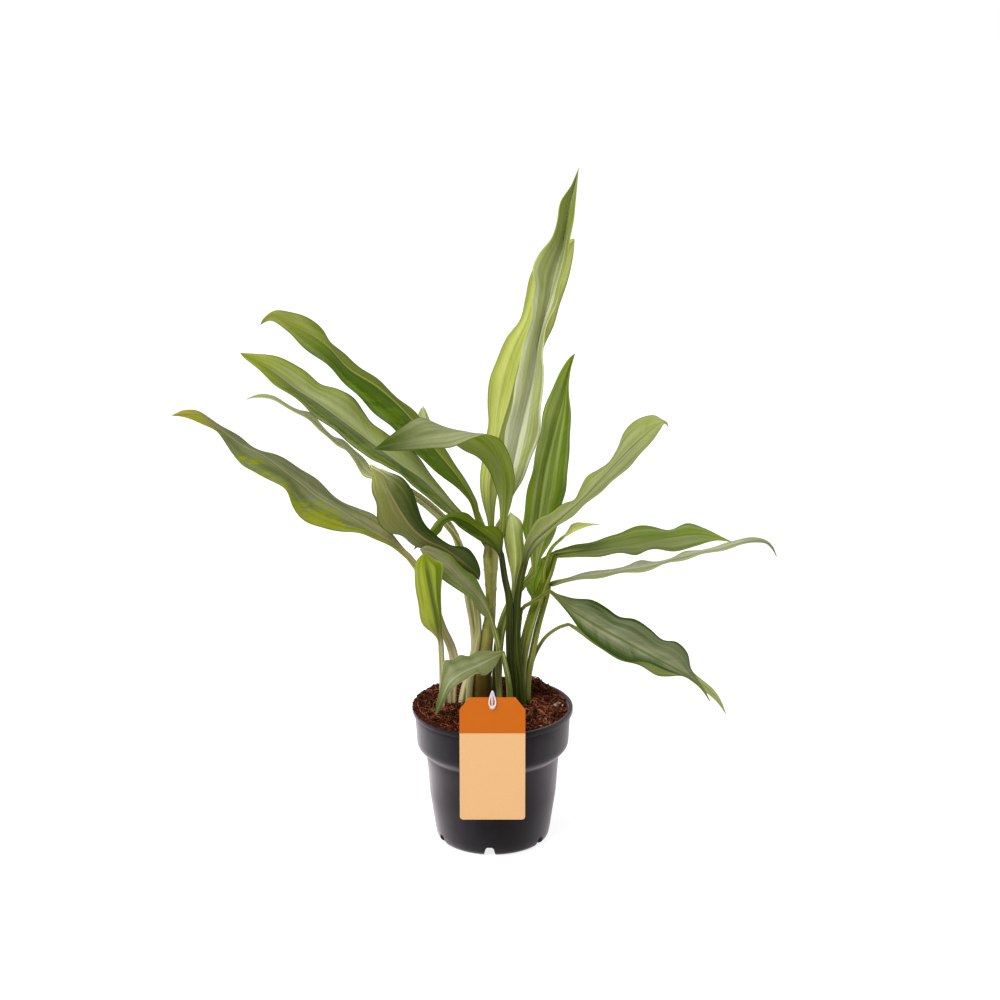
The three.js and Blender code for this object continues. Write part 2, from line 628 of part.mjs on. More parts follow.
    back: { left: [-9, -17, -27, -39, -55], rib: [-9, -24, -38, -49, -56], right: [-9, -26, -40, -51, -56] },
  },
  {
    name: "leaf_right_low_back",
    colour: 0x7c8c3c,
    stalk: [[26.5, 12], [28, 131, 11], [30, 141, 11], [34, 151, 10], [39, 159, 9],
      [44, 163.6, 8], [50, 167.4, 7]],
    foot: 1.6,
    neck: 1.3,
    stalkSteps: 9,
    steps: 18,
    left: [[58, 170], [72, 168], [88, 162], [104, 156], [120, 150], [135, 142.5],
      [149.8, 131], [156, 126], [162, 120.6], [167.4, 114], [171, 107], [174.5, 98]],
    rib: [[58, 168.5], [72, 160], [90, 151], [108, 145], [125, 139], [140, 132.5],
      [153, 125], [164, 116], [170, 109], [174.5, 98]],
    right: [[57.5, 167], [66, 160], [79.4, 149.6], [93.8, 142], [108, 136.5],
      [122.6, 129.4], [130.8, 128.3], [140.9, 127.5], [150, 123], [160, 115], [168, 107],
      [174.5, 98]],
    back: { left: [6, 20, 19, 8, -7], rib: [6, 8, 5, 0, -8], right: [6, -3, -7, -8, -9] },
  },
  {
    name: "leaf_right_inner",
    colour: 0x6f9020,
    stalk: [[22, 13], [24, 152, 11], [27.8, 166, 12], [29.5, 178, 13]],
    foot: 1.6,
    neck: 1.6,
    stalkSteps: 7,
    steps: 8,
    left: [[28.5, 189.5], [25.2, 195], [24.4, 204], [27, 213], [33, 219], [39, 223]],
    rib: [[30, 189], [31.5, 200], [34.5, 211], [39, 223]],
    right: [[31.5, 189], [37, 196], [41, 205], [42, 214], [39, 223]],
    back: { left: [13, 9, 9, 13], rib: [13, 14, 14, 13], right: [13, 9, 9, 13] },
  },
  {
    name: "leaf_right_small",
    colour: 0xa8ae48,
    stalk: [[37.5, 201, 1], [38, 214, -3], [43.5, 229, -3]],
    foot: 1.7,
    neck: 1.2,
    stalkSteps: 5,
    steps: 9,
    left: [[50.5, 237.5], [54, 240.5], [55.8, 244], [57.5, 247], [61, 248.7], [66, 248.8],
      [72, 248.2], [78.6, 247.5]],
    rib: [[50.8, 236.8], [55, 241], [60, 245], [68, 247], [78.6, 247.5]],
    right: [[51.5, 236], [56, 239], [61, 242.3], [67, 245], [73, 246.8], [78.6, 247.5]],
    back: { left: [0, 7, 10, 9], rib: [0, 2, 6, 9], right: [0, -4, 2, 9] },
  },
  {
    name: "sheath_young",
    colour: 0xb4be7c,
    stalk: [[13, 2], [14.5, 125, 1], [15, 150, 0], [15, 172, -1]],
    foot: 1.5,
    neck: 1.6,
    stalkSteps: 7,
    steps: 10,
    left: [[13.6, 190], [14.6, 203], [12.8, 220], [10.6, 235], [9.7, 247], [13.2, 257]],
    rib: [[15, 190], [16, 205], [17, 220], [15.8, 238], [14.5, 250], [13.2, 257]],
    right: [[16.5, 190], [17.8, 203], [21.5, 220], [20.7, 238], [19.6, 249], [13.2, 257]],
    back: { left: [-2, -4, -4, -6], rib: [-2, -8, -9, -7], right: [-2, -4, -4, -6] },
  },
];

// Outline of half the pot, cut by a plane through its axis: up the outside and down the inside.
function potProfile() {
  const lipFoot = POT_HEIGHT - LIP_HEIGHT;
  const step = COLLAR_RADIUS - BODY_RADIUS;
  return [
    [0, 0],
    [BASE_PAD_RADIUS, 0],
    [BASE_PAD_RADIUS + 1, BASE_RECESS],
    [FOOT_RADIUS - 4.5, BASE_RECESS],
    [FOOT_RADIUS - 3.5, 0],
    [FOOT_RADIUS, 0],
    [FOOT_RADIUS + 3.8, 1.4],
    [FOOT_RADIUS + 5.8, 4.2],
    [FOOT_RADIUS + 6.8, 9],
    [BODY_RADIUS - 2.5, TAPER_HEIGHT],
    [BODY_RADIUS - 0.4, SHOULDER_FOOT - 2],
    [BODY_RADIUS + 0.6, SHOULDER_FOOT],
    [COLLAR_RADIUS - 0.38 * step, SHOULDER_FOOT + 3.6],
    [COLLAR_RADIUS - 0.12 * step, SHOULDER_FOOT + 7],
    [COLLAR_RADIUS - 0.6, COLLAR_FOOT],
    [COLLAR_RADIUS + 0.4, lipFoot],
    [RIM_RADIUS - 0.6, lipFoot],
    [RIM_RADIUS, lipFoot + 0.8],
    [RIM_RADIUS, POT_HEIGHT - 0.8],
    [RIM_RADIUS - 0.7, POT_HEIGHT],
    [RIM_RADIUS - 2.6, POT_HEIGHT],
    [RIM_RADIUS - 3.3, POT_HEIGHT - 0.8],
    ...potInside(),
  ];
}

// The pot's inside, from the foot of the collar down to the middle of the floor.
const potInside = () => [
  [COLLAR_RADIUS - WALL, COLLAR_FOOT],
  [COLLAR_RADIUS - 1.8 - WALL, SHOULDER_FOOT + 5],
  [BODY_RADIUS - WALL, SHOULDER_FOOT],
  [BODY_RADIUS - 2.5 - WALL, TAPER_HEIGHT],
  [FOOT_RADIUS + 6.8 - WALL, 9],
  [FOOT_RADIUS + 3.8 - WALL, FLOOR],
  [0, FLOOR],
];

function slotCutter(turn) {
  const half = SLOT_TOP_WIDTH / 2;
  const foot = SLOT_BOTTOM_WIDTH / 2;
  const shape = new THREE.Shape();
  shape.moveTo(-foot, -1);
  shape.lineTo(foot, -1);
  shape.lineTo(half, SLOT_HEIGHT - SLOT_CORNER);
  shape.lineTo(half - SLOT_CORNER, SLOT_HEIGHT);
  shape.lineTo(-half + SLOT_CORNER, SLOT_HEIGHT);
  shape.lineTo(-half, SLOT_HEIGHT - SLOT_CORNER);
  shape.closePath();
  const block = new THREE.ExtrudeGeometry(shape, { depth: SLOT_DEPTH, bevelEnabled: false });
  block.rotateX(Math.PI / 2);
  block.translate(0, 1 - FOOT_RADIUS, 0);
  block.rotateZ(THREE.MathUtils.degToRad(turn));
  return toSolid(block);
}

function makePot() {
  const points = potProfile().map(([r, z]) => new THREE.Vector2(r, z));
  const turned = new THREE.LatheGeometry(points, POT_SIDES);
  turned.rotateX(Math.PI / 2);
  let pot = toSolid(turned);
  for (let i = 0; i < SLOT_COUNT; i++)
    pot = pot.subtract(slotCutter(SLOT_TURN + (i * 360) / SLOT_COUNT));
  return largestPiece(pot);
}

// The soil's top: low at the front, heaped at the back, with small lumps all over it.
function soilHeight(x, y) {
  const inner = RIM_RADIUS - SOIL_INSET;
  const away = Math.min(Math.hypot(x, y) / inner, 1);
  const rise = SOIL_BACK_HEAP * Math.max(y / inner, 0) * (1 - away ** 4);
  const heap = SOIL_MOUND * (1 - away * away) + rise;
  const lumps =
    Math.sin(0.61 * x + 1.3) * Math.cos(0.53 * y - 0.4) + 0.6 * Math.sin(0.93 * y + 0.71 * x);
  return SOIL_EDGE_HEIGHT + heap + SOIL_ROUGHNESS * lumps * (1 - away ** 6);
}

function makeSoil() {
  const wall = potInside()
    .map(([r, z]) => new THREE.Vector2(Math.max(r - GAP, 0), z + (z === FLOOR ? GAP : 0)))
    .reverse();
  const edge = wall.at(-1).x + (SOIL_EDGE_HEIGHT - COLLAR_FOOT) * SOIL_WALL_SLOPE;
  const points = [...wall, new THREE.Vector2(edge, SOIL_EDGE_HEIGHT)];
  for (let i = 1; i <= SOIL_RINGS; i++)
    points.push(new THREE.Vector2(edge * (1 - i / SOIL_RINGS), SOIL_EDGE_HEIGHT + 1));
  const turned = new THREE.LatheGeometry(points, SOIL_SIDES);
  turned.rotateX(Math.PI / 2);
  const places = turned.attributes.position;
  for (let i = 0; i < places.count; i++)
    if (places.getZ(i) > SOIL_EDGE_HEIGHT - 0.5)
      places.setZ(i, soilHeight(places.getX(i), places.getY(i)));
  return toSolid(turned);
}

// The cane: thick and brown at the soil, slimmer above, with the marks of old stalks round it.
const CANE_LINE = [[-8.5, 0], [-8.5, 112, 0], [-8.2, 128, 0], [-5.5, 150, 1], [-2.2, 172, 2],
  [-1.3, 190, 2], [-1.4, 208, 2], [-1.2, 222, 2], [-0.5, 234, 3]];
const CANE_RADII = [7.4, 7.6, 7.2, 5.6, 4.4, 3.9, 4.6, 5.5, 5.2];
const CANE_STEPS = 20;
const CANE_SIDES = 10;
const CANE_RING_EVERY = 5;
const CANE_RING_DEPTH = 0.35;
function caneSolid(grow) {
  const curve = new THREE.CatmullRomCurve3(CANE_LINE.map(stalkPoint), false, "centripetal");
  const radii = levelCurve(CANE_RADII);
  const rings = [];
  for (let i = 0; i <= CANE_STEPS; i++) {
    const u = i / CANE_STEPS;
    const centre = curve.getPoint(u);
    const scar = i % CANE_RING_EVERY === 2 ? CANE_RING_DEPTH : 0;
    const radius = radii.getPoint(u).y + scar + grow;
    const ring = [];
    for (let j = 0; j < CANE_SIDES; j++) {
      const turn = (2 * Math.PI * j) / CANE_SIDES;
      const x = radius * Math.cos(turn);
      const y = radius * Math.sin(turn);
      ring.push(new THREE.Vector3(centre.x + x, centre.y + y, centre.z));
    }
    rings.push(ring);
  }
  return toSolid(skinOver(rings));
}

function tagSolid() {
  const half = TAG_WIDTH / 2;
  const shape = new THREE.Shape();
  shape.moveTo(-half + TAG_CORNER, TAG_BOTTOM);
  shape.lineTo(half - TAG_CORNER, TAG_BOTTOM);
  shape.absarc(half - TAG_CORNER, TAG_BOTTOM + TAG_CORNER, TAG_CORNER, -Math.PI / 2, 0);
  shape.lineTo(half, TAG_TOP - TAG_CHAMFER_HEIGHT);
  shape.lineTo(half - TAG_CHAMFER_WIDTH, TAG_TOP);
  shape.lineTo(-half + TAG_CHAMFER_WIDTH, TAG_TOP);
  shape.lineTo(-half, TAG_TOP - TAG_CHAMFER_HEIGHT);
  shape.lineTo(-half, TAG_BOTTOM + TAG_CORNER);
  shape.absarc(-half + TAG_CORNER, TAG_BOTTOM + TAG_CORNER, TAG_CORNER, Math.PI, 1.5 * Math.PI);
  const hole = new THREE.Path();
  hole.absarc(0, TAG_TOP - TAG_HOLE_DROP, TAG_HOLE_RADIUS, 0, 2 * Math.PI, true);
  shape.holes.push(hole);
  const card = new THREE.ExtrudeGeometry(shape, {
    depth: TAG_THICKNESS,
    bevelEnabled: false,
    curveSegments: 8,
  });
  card.rotateX(Math.PI / 2);
  card.translate(0, -RIM_RADIUS - GAP, 0);
  return toSolid(card);
}

function rodAlong(points, radius, steps) {
  const circle = new THREE.Shape();
  circle.absarc(0, 0, radius, 0, 2 * Math.PI);
  const curve = new THREE.CatmullRomCurve3(points, false, "centripetal");
  return toSolid(
    new THREE.ExtrudeGeometry(circle, { steps, extrudePath: curve, curveSegments: 3 }),
  );
}

// The tie: a drop-shaped eye in front of the tag, a stud through the tag's hole with a small head
// behind it, and a filament from the top of the eye, over the tag's top edge and down behind the
// tag, to the low front leaf's stalk.
function tieSolid() {
  const front = -RIM_RADIUS - 2 * GAP - TAG_THICKNESS - TIE_RADIUS;
  const holeHeight = TAG_TOP - TAG_HOLE_DROP;
  const drop = (x, z) => new THREE.Vector3(x, front, holeHeight + z);
  const wide = TIE_LOOP_WIDTH / 2;
  const left = [drop(0, 0), drop(-wide * 0.8, 1.6), drop(-wide, 4.5), drop(0, TIE_LOOP_HEIGHT)];
  const right = left.map((p) => new THREE.Vector3(-p.x, p.y, p.z));
  const knot = drop(0, TIE_LOOP_HEIGHT - TIE_KNOT_DROP);
  const { right: across, back, down } = FILAMENT_DIVE;
  const dive = knot.clone().add(new THREE.Vector3(across, back, -down));
  const stalk = seen(FILAMENT_END);
  const stud = new THREE.CylinderGeometry(STUD_RADIUS, STUD_RADIUS, STUD_LENGTH, 8);
  stud.translate(0, front + STUD_LENGTH / 2 - 0.4, holeHeight);
  const head = new THREE.CylinderGeometry(HEAD_RADIUS, HEAD_RADIUS, HEAD_LENGTH, 12);
  head.translate(0, -RIM_RADIUS + HEAD_LENGTH / 2, holeHeight);
  return rodAlong(left, TIE_RADIUS, 8)
    .add(rodAlong(right, TIE_RADIUS, 8))
    .add(rodAlong([knot, dive, stalk], FILAMENT_RADIUS, 8))
    .add(toSolid(stud))
    .add(toSolid(head));
}

// Each later piece is cut back from the ones before it, so that touching pieces stay a hair apart.
function clearOf(solid, keepOuts) {
  const cut = keepOuts.reduce((rest, keepOut) => rest.subtract(keepOut), solid);
  return largestPiece(cut);
}

const keepOuts = [caneSolid(GAP)];
addPiece("cane", caneSolid(0), 0x8a7d40, 0.6);
for (const leaf of LEAVES) {
  addPiece(leaf.name, clearOf(leafSolid(leaf, 0), keepOuts), leaf.colour, 0.45);
  keepOuts.push(leafSolid(leaf, HOLE_CLEARANCE));
}
addPiece("soil", clearOf(makeSoil(), keepOuts), 0x3a2015, 0.95);
addPiece("pot", makePot(), 0x2b2b2d, 0.4);
addPiece("tag", tagSolid(), 0xe9b684, 0.6);
addPiece("tag_tie", clearOf(tieSolid(), keepOuts), 0xe8cfc6, 0.35);

export default group;
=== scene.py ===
"""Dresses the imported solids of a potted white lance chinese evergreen."""
import bisect
import math
import random

import bmesh
import bpy
from bpy.props import FloatProperty, FloatVectorProperty, IntProperty, PointerProperty
from mathutils import Matrix, Vector, noise


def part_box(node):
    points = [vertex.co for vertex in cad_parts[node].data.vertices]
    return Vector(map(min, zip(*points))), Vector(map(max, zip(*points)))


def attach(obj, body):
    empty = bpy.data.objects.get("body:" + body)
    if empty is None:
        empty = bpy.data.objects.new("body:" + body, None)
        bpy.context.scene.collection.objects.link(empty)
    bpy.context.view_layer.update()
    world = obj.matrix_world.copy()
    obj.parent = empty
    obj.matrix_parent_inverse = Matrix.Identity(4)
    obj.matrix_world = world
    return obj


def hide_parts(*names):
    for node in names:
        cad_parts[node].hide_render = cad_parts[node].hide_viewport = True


bl_info = {
    "name": "Potted white lance chinese evergreen",
    "version": (1, 0, 0),
    "blender": (4, 5, 0),
    "location": "View3D > Sidebar > Plant",
    "description": "Builds leaves, cane, soil, pot, tag and stage round the packed frame",
    "category": "Object",
}

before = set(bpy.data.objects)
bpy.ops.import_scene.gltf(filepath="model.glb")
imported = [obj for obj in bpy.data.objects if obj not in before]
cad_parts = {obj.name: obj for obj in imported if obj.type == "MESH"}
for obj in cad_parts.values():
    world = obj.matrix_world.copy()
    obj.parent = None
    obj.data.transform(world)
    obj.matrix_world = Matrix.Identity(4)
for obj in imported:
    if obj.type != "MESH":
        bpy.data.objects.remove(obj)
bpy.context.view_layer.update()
MM = 0.001
BODY = "root"

# The pot and the tag take their driving sizes from the frame. What follows is in millimetres
_, POT_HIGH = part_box("pot")
TAG_LOW, TAG_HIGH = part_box("tag")
RIM_RADIUS = POT_HIGH.x / MM
POT_HEIGHT = POT_HIGH.z / MM
LIP_HEIGHT = 4
WALL = 2.6
COLLAR_RADIUS = RIM_RADIUS - 2.4
COLLAR_FOOT = 80
SHOULDER_FOOT = 70
TAPER_HEIGHT = 38
BODY_RADIUS = 50
FOOT_RADIUS = 36.5
FLOOR = 12
BASE_RECESS = 9.5
SLOT_COUNT = 6
SLOT_TURN = -3
SLOT_HEIGHT = 8
SLOT_TOP_WIDTH = 6
SLOT_BOTTOM_WIDTH = 10
SLOT_CORNER = 1.2
SLOT_START = FOOT_RADIUS + 11
SLOT_LENGTH = 15
CORNER_ANGLE = 33

# The soil's body and top, its bank at the left rim, its small heap behind, and where pale chips lie
SOIL_EDGE_HEIGHT = 103
SOIL_RADIUS = RIM_RADIUS - 4
SOIL_WALL_GAP = 0.4
SOIL_FLOOR_GAP = 0.3
SOIL_WALL_SLOPE = 0.05
SOIL_SIDES = 160
SOIL_RINGS = 64
SOIL_MOUND = 5
SOIL_BACK_HEAP = 3
SOIL_ROUGHNESS = 1.1
BANK = 5
HEAP_X = 33
HEAP_Y = 38
HEAP_RADIUS = 11
HEAP_HEIGHT = 5
CRUMB_RADIUS = RIM_RADIUS - 4.2
CHIP_SPOTS = ((49, 1), (39, -33))

# The cane as seen, from its foot up, with its radii and scars
CANE_LINE = (
    (-8.5, 0), (-8.5, 112, 0), (-8.2, 128, 0), (-5.5, 150, 1), (-2.2, 172, 2), (-1.3, 190, 2),
    (-1.4, 208, 2), (-1.2, 222, 2), (-0.5, 234, 3),
)
CANE_RADII = (7.4, 7.6, 7.2, 5.6, 4.4, 3.9, 4.6, 5.5, 5.2)
CANE_SCARS = 9.5
SCAR_HEIGHT = 0.45
STALK_FOOT_HEIGHT = 86

# The tag's cut corners, rounded feet and hole
TAG_CORNER_IN = 7.2
TAG_CORNER_DOWN = 9.6
TAG_FOOT_ROUND = 2.5
TAG_EDGE_ROUND = 0.15
HOLE_RADIUS = 2.2
HOLE_DOWN = 7.4

# The tie: how far its drop hangs in front of the tag, and its filament, which goes so far right,
# back and up behind the tag and ends at a place as seen
DROP_GAP = 0.95
DROP_HALF_WIDTH = 2.3
FILAMENT_DIVE = (2, 12.5, -18.5)
FILAMENT_END = (13.2, 107, -16)

# The eye that the leaves' points are looked at from
EYE_RIGHT = 5.5
EYE_BACK = -2092
EYE_UP = 946
EYE_PITCH = 18
EYE_LENS = 108.3

# How finely a leaf is ruled, and how thick its blade, rib and stalk are
HALF_COLUMNS = 12
COLUMN_CROWDING = 1.4
BLADE_ROWS = 96
STALK_ROWS = 28
TIP_HALF_WIDTH = 0.12
HALF_CROWN = 0.07
NECK_FADE = 9
MARGIN_THICKNESS = 0.14
BLADE_THICKENING = 0.16
RIB_KEEL = 0.62
RIB_GROOVE = 0.5
STALK_GROOVE = 0.45
STALK_GROOVE_WIDTH = 0.35
PARTS = ("left", "rib", "right")

# How much light the studio throws on a surface, and how much white sheen it adds
ROOM_LIGHT = 1.3
ROOM_SHEEN = 0.016
LEAST_PIGMENT = 0.25
RIGHT_LAMP_GAIN = 1.6
LAMP_SIZE = 1.2

# The sockets of the node groups
COLOUR = "NodeSocketColor"
NUMBER = "NodeSocketFloat"
GREY = (0.5, 0.5, 0.5, 1.0)
LEAF_COLOURS = (
    "Upper", "Other", "Silver", "Rib", "Under", "Margin", "Patch", "Tip", "Stalk", "Stripe", "Foot",
)
LEAF_NUMBERS = (
    "Silver Amount", "Patch Amount", "Patch Side", "Band Amount", "Tip Amount", "Tip Start",
    "Foot Amount", "Rib Width",
)

# How steeply a leaf's veins run, its stalk's pale foot, and the tones of cane and tie. In metres
VEIN_SLOPE = 1.15
FOOT_COLOUR = (216, 204, 156)
FOOT_LOW = 0.12
FOOT_HIGH = 0.21
CANE_PALE_FROM = -0.001
CANE_PALE_TO = 0.002
CANE_BROWN_TO = 0.125
CANE_OLIVE_FROM = 0.17
DROP_TINT_LOW = 0.128
DROP_TINT_HIGH = 0.141
BAND_EDGE = 0.00012


def from_channel(value):
    """One sRGB channel from 0 to 255, as a linear share."""
    share = value / 255
    return share / 12.92 if share <= 0.04045 else ((share + 0.055) / 1.055) ** 2.4


def paint(red, green, blue):
    """The paint that looks like this sRGB colour once the studio lights it."""
    seen_as = [from_channel(value) for value in (red, green, blue)]
    bare = [max(share - ROOM_SHEEN, share * LEAST_PIGMENT) / ROOM_LIGHT for share in seen_as]
    return (*bare, 1.0)


def seen(right, up, back):
    """The place, in millimetres, of a point that the eye sees there and that lies so far back."""
    reach = 1 - back / EYE_BACK
    return Vector(
        (EYE_RIGHT + (right - EYE_RIGHT) * reach, back, EYE_UP + (up - EYE_UP) * reach)
    )


def stalk_point(point):
    """Two numbers are the foot's place in the pot, three are a place as it looks."""
    if len(point) == 2:
        return Vector((point[0], point[1], STALK_FOOT_HEIGHT))
    return seen(*point)


class Line:
    """A centripetal Catmull-Rom curve through points, walked by its length."""

    def __init__(self, points, steps=200):
        self.points = [Vector(p) for p in points]
        self.lengths = [0.0]
        last = self.place(0)
        for i in range(1, steps + 1):
            now = self.place(i / steps)
            self.lengths.append(self.lengths[-1] + (now - last).length)
            last = now

    def place(self, t):
        """The point so far through the list of points, from 0 to 1."""
        points = self.points
        spans = len(points) - 1
        i = min(int(spans * t), spans - 1)
        w = spans * t - i
        b, c = points[i], points[i + 1]
        a = points[i - 1] if i > 0 else b * 2 - c
        d = points[i + 2] if i + 2 <= spans else c * 2 - b
        before, here, after = (
            max(math.sqrt((q - p).length), 1e-4) for p, q in ((a, b), (b, c), (c, d))
        )
        start = ((b - a) / before - (c - a) / (before + here) + (c - b) / here) * here
        end = ((c - b) / here - (d - b) / (here + after) + (d - c) / after) * here
        square = (c - b) * 3 - start * 2 - end
        cube = (b - c) * 2 + start + end
        return b + start * w + square * w**2 + cube * w**3

    def at(self, share):
        """The point at this share of the curve's length."""
        target = min(max(share, 0.0), 1.0) * self.lengths[-1]
        i = min(max(bisect.bisect_left(self.lengths, target), 1), len(self.lengths) - 1)
        low, high = self.lengths[i - 1], self.lengths[i]
        part = (target - low) / (high - low) if high > low else 0.0
        return self.place((i - 1 + part) / (len(self.lengths) - 1))

    def heading(self, share):
        return (self.at(share + 0.004) - self.at(share - 0.004)).normalized()


def level(levels, share):
    """A smooth value along a list of evenly spaced ones."""
    spans = len(levels) - 1
    i = min(int(spans * share), spans - 1)
    w = spans * share - i
    a, b, c = levels[max(i - 1, 0)], levels[i], levels[i + 1]
    d = levels[min(i + 2, spans)]
    start, end = (c - a) / 2, (d - b) / 2
    square = 3 * (c - b) - 2 * start - end
    cube = 2 * (b - c) + start + end
    return b + start * w + square * w**2 + cube * w**3


def tube_grid(bm, around, along):
    """A new grid's vertices, each with the column and row it has once the grid is a tube."""
    made = bmesh.ops.create_grid(bm, x_segments=around, y_segments=along, size=1.0, calc_uvs=True)
    return [
        (
            vertex,
            round((vertex.co.x + 1) / 2 * around) % around,
            round((vertex.co.y + 1) / 2 * along),
        )
        for vertex in made["verts"]
    ]


def wrap(bm, around, along, place):
    """Bends a grid into a tube. place(column, row) says where each of its vertices goes."""
    grid = tube_grid(bm, around, along)
    for vertex, column, row in grid:
        vertex.co = place(column, row)
    return [vertex for vertex, _, _ in grid]


def push_outline(bm, corners, push):
    """Makes a face of the corners and pushes it into a bar. Returns the bar's vertices."""
    outline = [bm.verts.new(corner) for corner in corners]
    face = bm.faces.new(outline)
    pushed = bmesh.ops.extrude_face_region(bm, geom=[face])["geom"]
    moved = [item for item in pushed if isinstance(item, bmesh.types.BMVert)]
    bmesh.ops.translate(bm, verts=moved, vec=push)
    return outline + moved


def new_bmesh():
    """An empty bmesh with a UV layer."""
    bm = bmesh.new()
    bm.loops.layers.uv.new("UVMap")
    return bm


def close_and_face(bm, gap=1e-6):
    """Merges seams, closes open ends and turns every face outwards."""
    bmesh.ops.remove_doubles(bm, verts=bm.verts[:], dist=gap)
    open_edges = [e for e in bm.edges if e.is_boundary]
    if open_edges:
        bmesh.ops.holes_fill(bm, edges=open_edges, sides=0)
    bmesh.ops.recalc_face_normals(bm, faces=bm.faces[:])


def add_piece(name, bm, material, nodes=(), slot=None, smooth=True):
    """Makes the bmesh a piece that rides with the plant, and stands for its nodes."""
    mesh = bpy.data.meshes.new(name)
    bm.to_mesh(mesh)
    bm.free()
    for polygon in mesh.polygons:
        polygon.use_smooth = smooth
    mesh.materials.append(material)
    piece = bpy.data.objects.new(name, mesh)
    bpy.context.scene.collection.objects.link(piece)
    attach(piece, BODY)
    if nodes:
        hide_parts(*nodes)
    return piece


def column_shares():
    """Places across a leaf from its right edge, -1, to its left, 1, closer together at the rib."""
    half = [(k / HALF_COLUMNS) ** COLUMN_CROWDING for k in range(1, HALF_COLUMNS + 1)]
    return [-s for s in reversed(half)] + [0.0] + half


def blade_stations(leaf):
    """The left edge, rib and right edge at even steps from the blade's base to its tip."""
    edges = {part: Line([(r, u, 0) for r, u in leaf[part]]) for part in PARTS}

    def at(part, share):
        flat = edges[part].at(share)
        return seen(flat.x, flat.y, level(leaf["back"][part], share))

    stations = []
    for i in range(BLADE_ROWS + 1):
        share = i / BLADE_ROWS
        station = {part: at(part, share) for part in PARTS} | {"share": share}
        for part in ("left", "right"):
            station[part] = station["rib"].lerp(station[part], leaf["breadth"])
        stations.append(station)
    neck_point = at("rib", 0).lerp(at("rib", 0.05), -0.25)
    return stations, neck_point


def stalk_lift(s, radius, face):
    """How far a stalk's skin stands off its middle plane. Its upper face has a groove."""
    lift = math.cos(s * math.pi / 2) * radius
    if face > 0:
        lift *= 1 - STALK_GROOVE * math.exp(-((s / STALK_GROOVE_WIDTH) ** 2))
    return lift


def blade_ring(station, along, side, walked, leaf, shares):
    """One ring round the blade, under face first, with what the materials read at each vertex."""
    share = station["share"]
    rib = station["rib"]
    halves = {1: station["left"] - rib, -1: station["right"] - rib}
    flat_up = along.cross(side).normalized()
    ups = {}
    for sign, half in halves.items():
        up = along.cross(half) * sign
        blend = min(half.length / 2, 1.0)
        ups[sign] = (up.normalized() * blend + flat_up * (1 - blend)).normalized()
    rib_up = (ups[1] + ups[-1]).normalized()
    neck = (1 - share) ** NECK_FADE
    taper = (1 - share) ** 0.8
    faces = []
    for face in (-1, 1):
        upper = 1.0 if face > 0 else 0.0
        row = []
        for s in shares:
            sign = 1 if s >= 0 else -1
            reach = abs(s)
            half = halves[sign]
            out = reach * half.length
            turn = min(reach * 2.5, 1.0)
            up = (rib_up * (1 - turn) + ups[sign] * turn).normalized()
            wave = leaf["wave"] * reach**2 * math.sin(math.pi * share) * min(half.length / 10, 1)
            wave *= math.sin(2 * math.pi * walked / leaf["wave_length"] + leaf["phase"] * sign)
            crown = HALF_CROWN * half.length * 4 * reach * (1 - reach)
            thick = MARGIN_THICKNESS + BLADE_THICKENING * (1 - reach**4)
            if face < 0:
                bulge = math.exp(-((out / (0.8 + 0.9 * taper)) ** 2))
                thick += leaf["neck"] * RIB_KEEL * taper * bulge
            else:
                thick -= RIB_GROOVE * taper * math.exp(-((out / (0.5 + 0.5 * taper)) ** 2))
            blade = rib + half * reach + up * (crown + wave + face * thick)
            lift = stalk_lift(s, leaf["neck"], face)
            stalk = rib + side * math.sin(s * math.pi / 2) * leaf["neck"] + flat_up * face * lift
            place = blade.lerp(stalk, neck)
            row.append((place * MM, (sign * out * MM, walked * MM, upper), (s, share, neck)))
        faces.append(row)
    return faces[0] + faces[1][::-1]


def stalk_rings(leaf, neck_point, side, shares):
    """Rings from the stalk's foot to its neck. The side turns as little as it can."""
    line = Line([stalk_point(p) for p in leaf["stalk"]] + [neck_point])
    length = line.lengths[-1]
    side = side.copy()
    rings = []
    for i in range(STALK_ROWS, -1, -1):
        share = i / STALK_ROWS
        centre = line.at(share)
        along = line.heading(share)
        side = (side - along * side.dot(along)).normalized()
        up = along.cross(side).normalized()
        radius = leaf["foot"] + (leaf["neck"] - leaf["foot"]) * share
        radius *= 1 + (leaf["girth"] - 1) * math.sin(math.pi * share**0.6) ** 0.7
        sheath = leaf["sheath"] * max(0.0, 1 - share / 0.55)
        walked = (share - 1) * length
        faces = []
        for face in (-1, 1):
            upper = 1.0 if face > 0 else 0.0
            row = []
            for s in shares:
                lift = stalk_lift(s, radius, face)
                spread = math.sin(s * math.pi / 2) * radius * (1 + sheath * abs(s) ** 6)
                place = centre + side * spread + up * face * lift
                row.append((place * MM, (s * radius * MM, walked * MM, upper), (s, 0.0, 1.0)))
            faces.append(row)
        rings.insert(0, faces[0] + faces[1][::-1])
    return rings


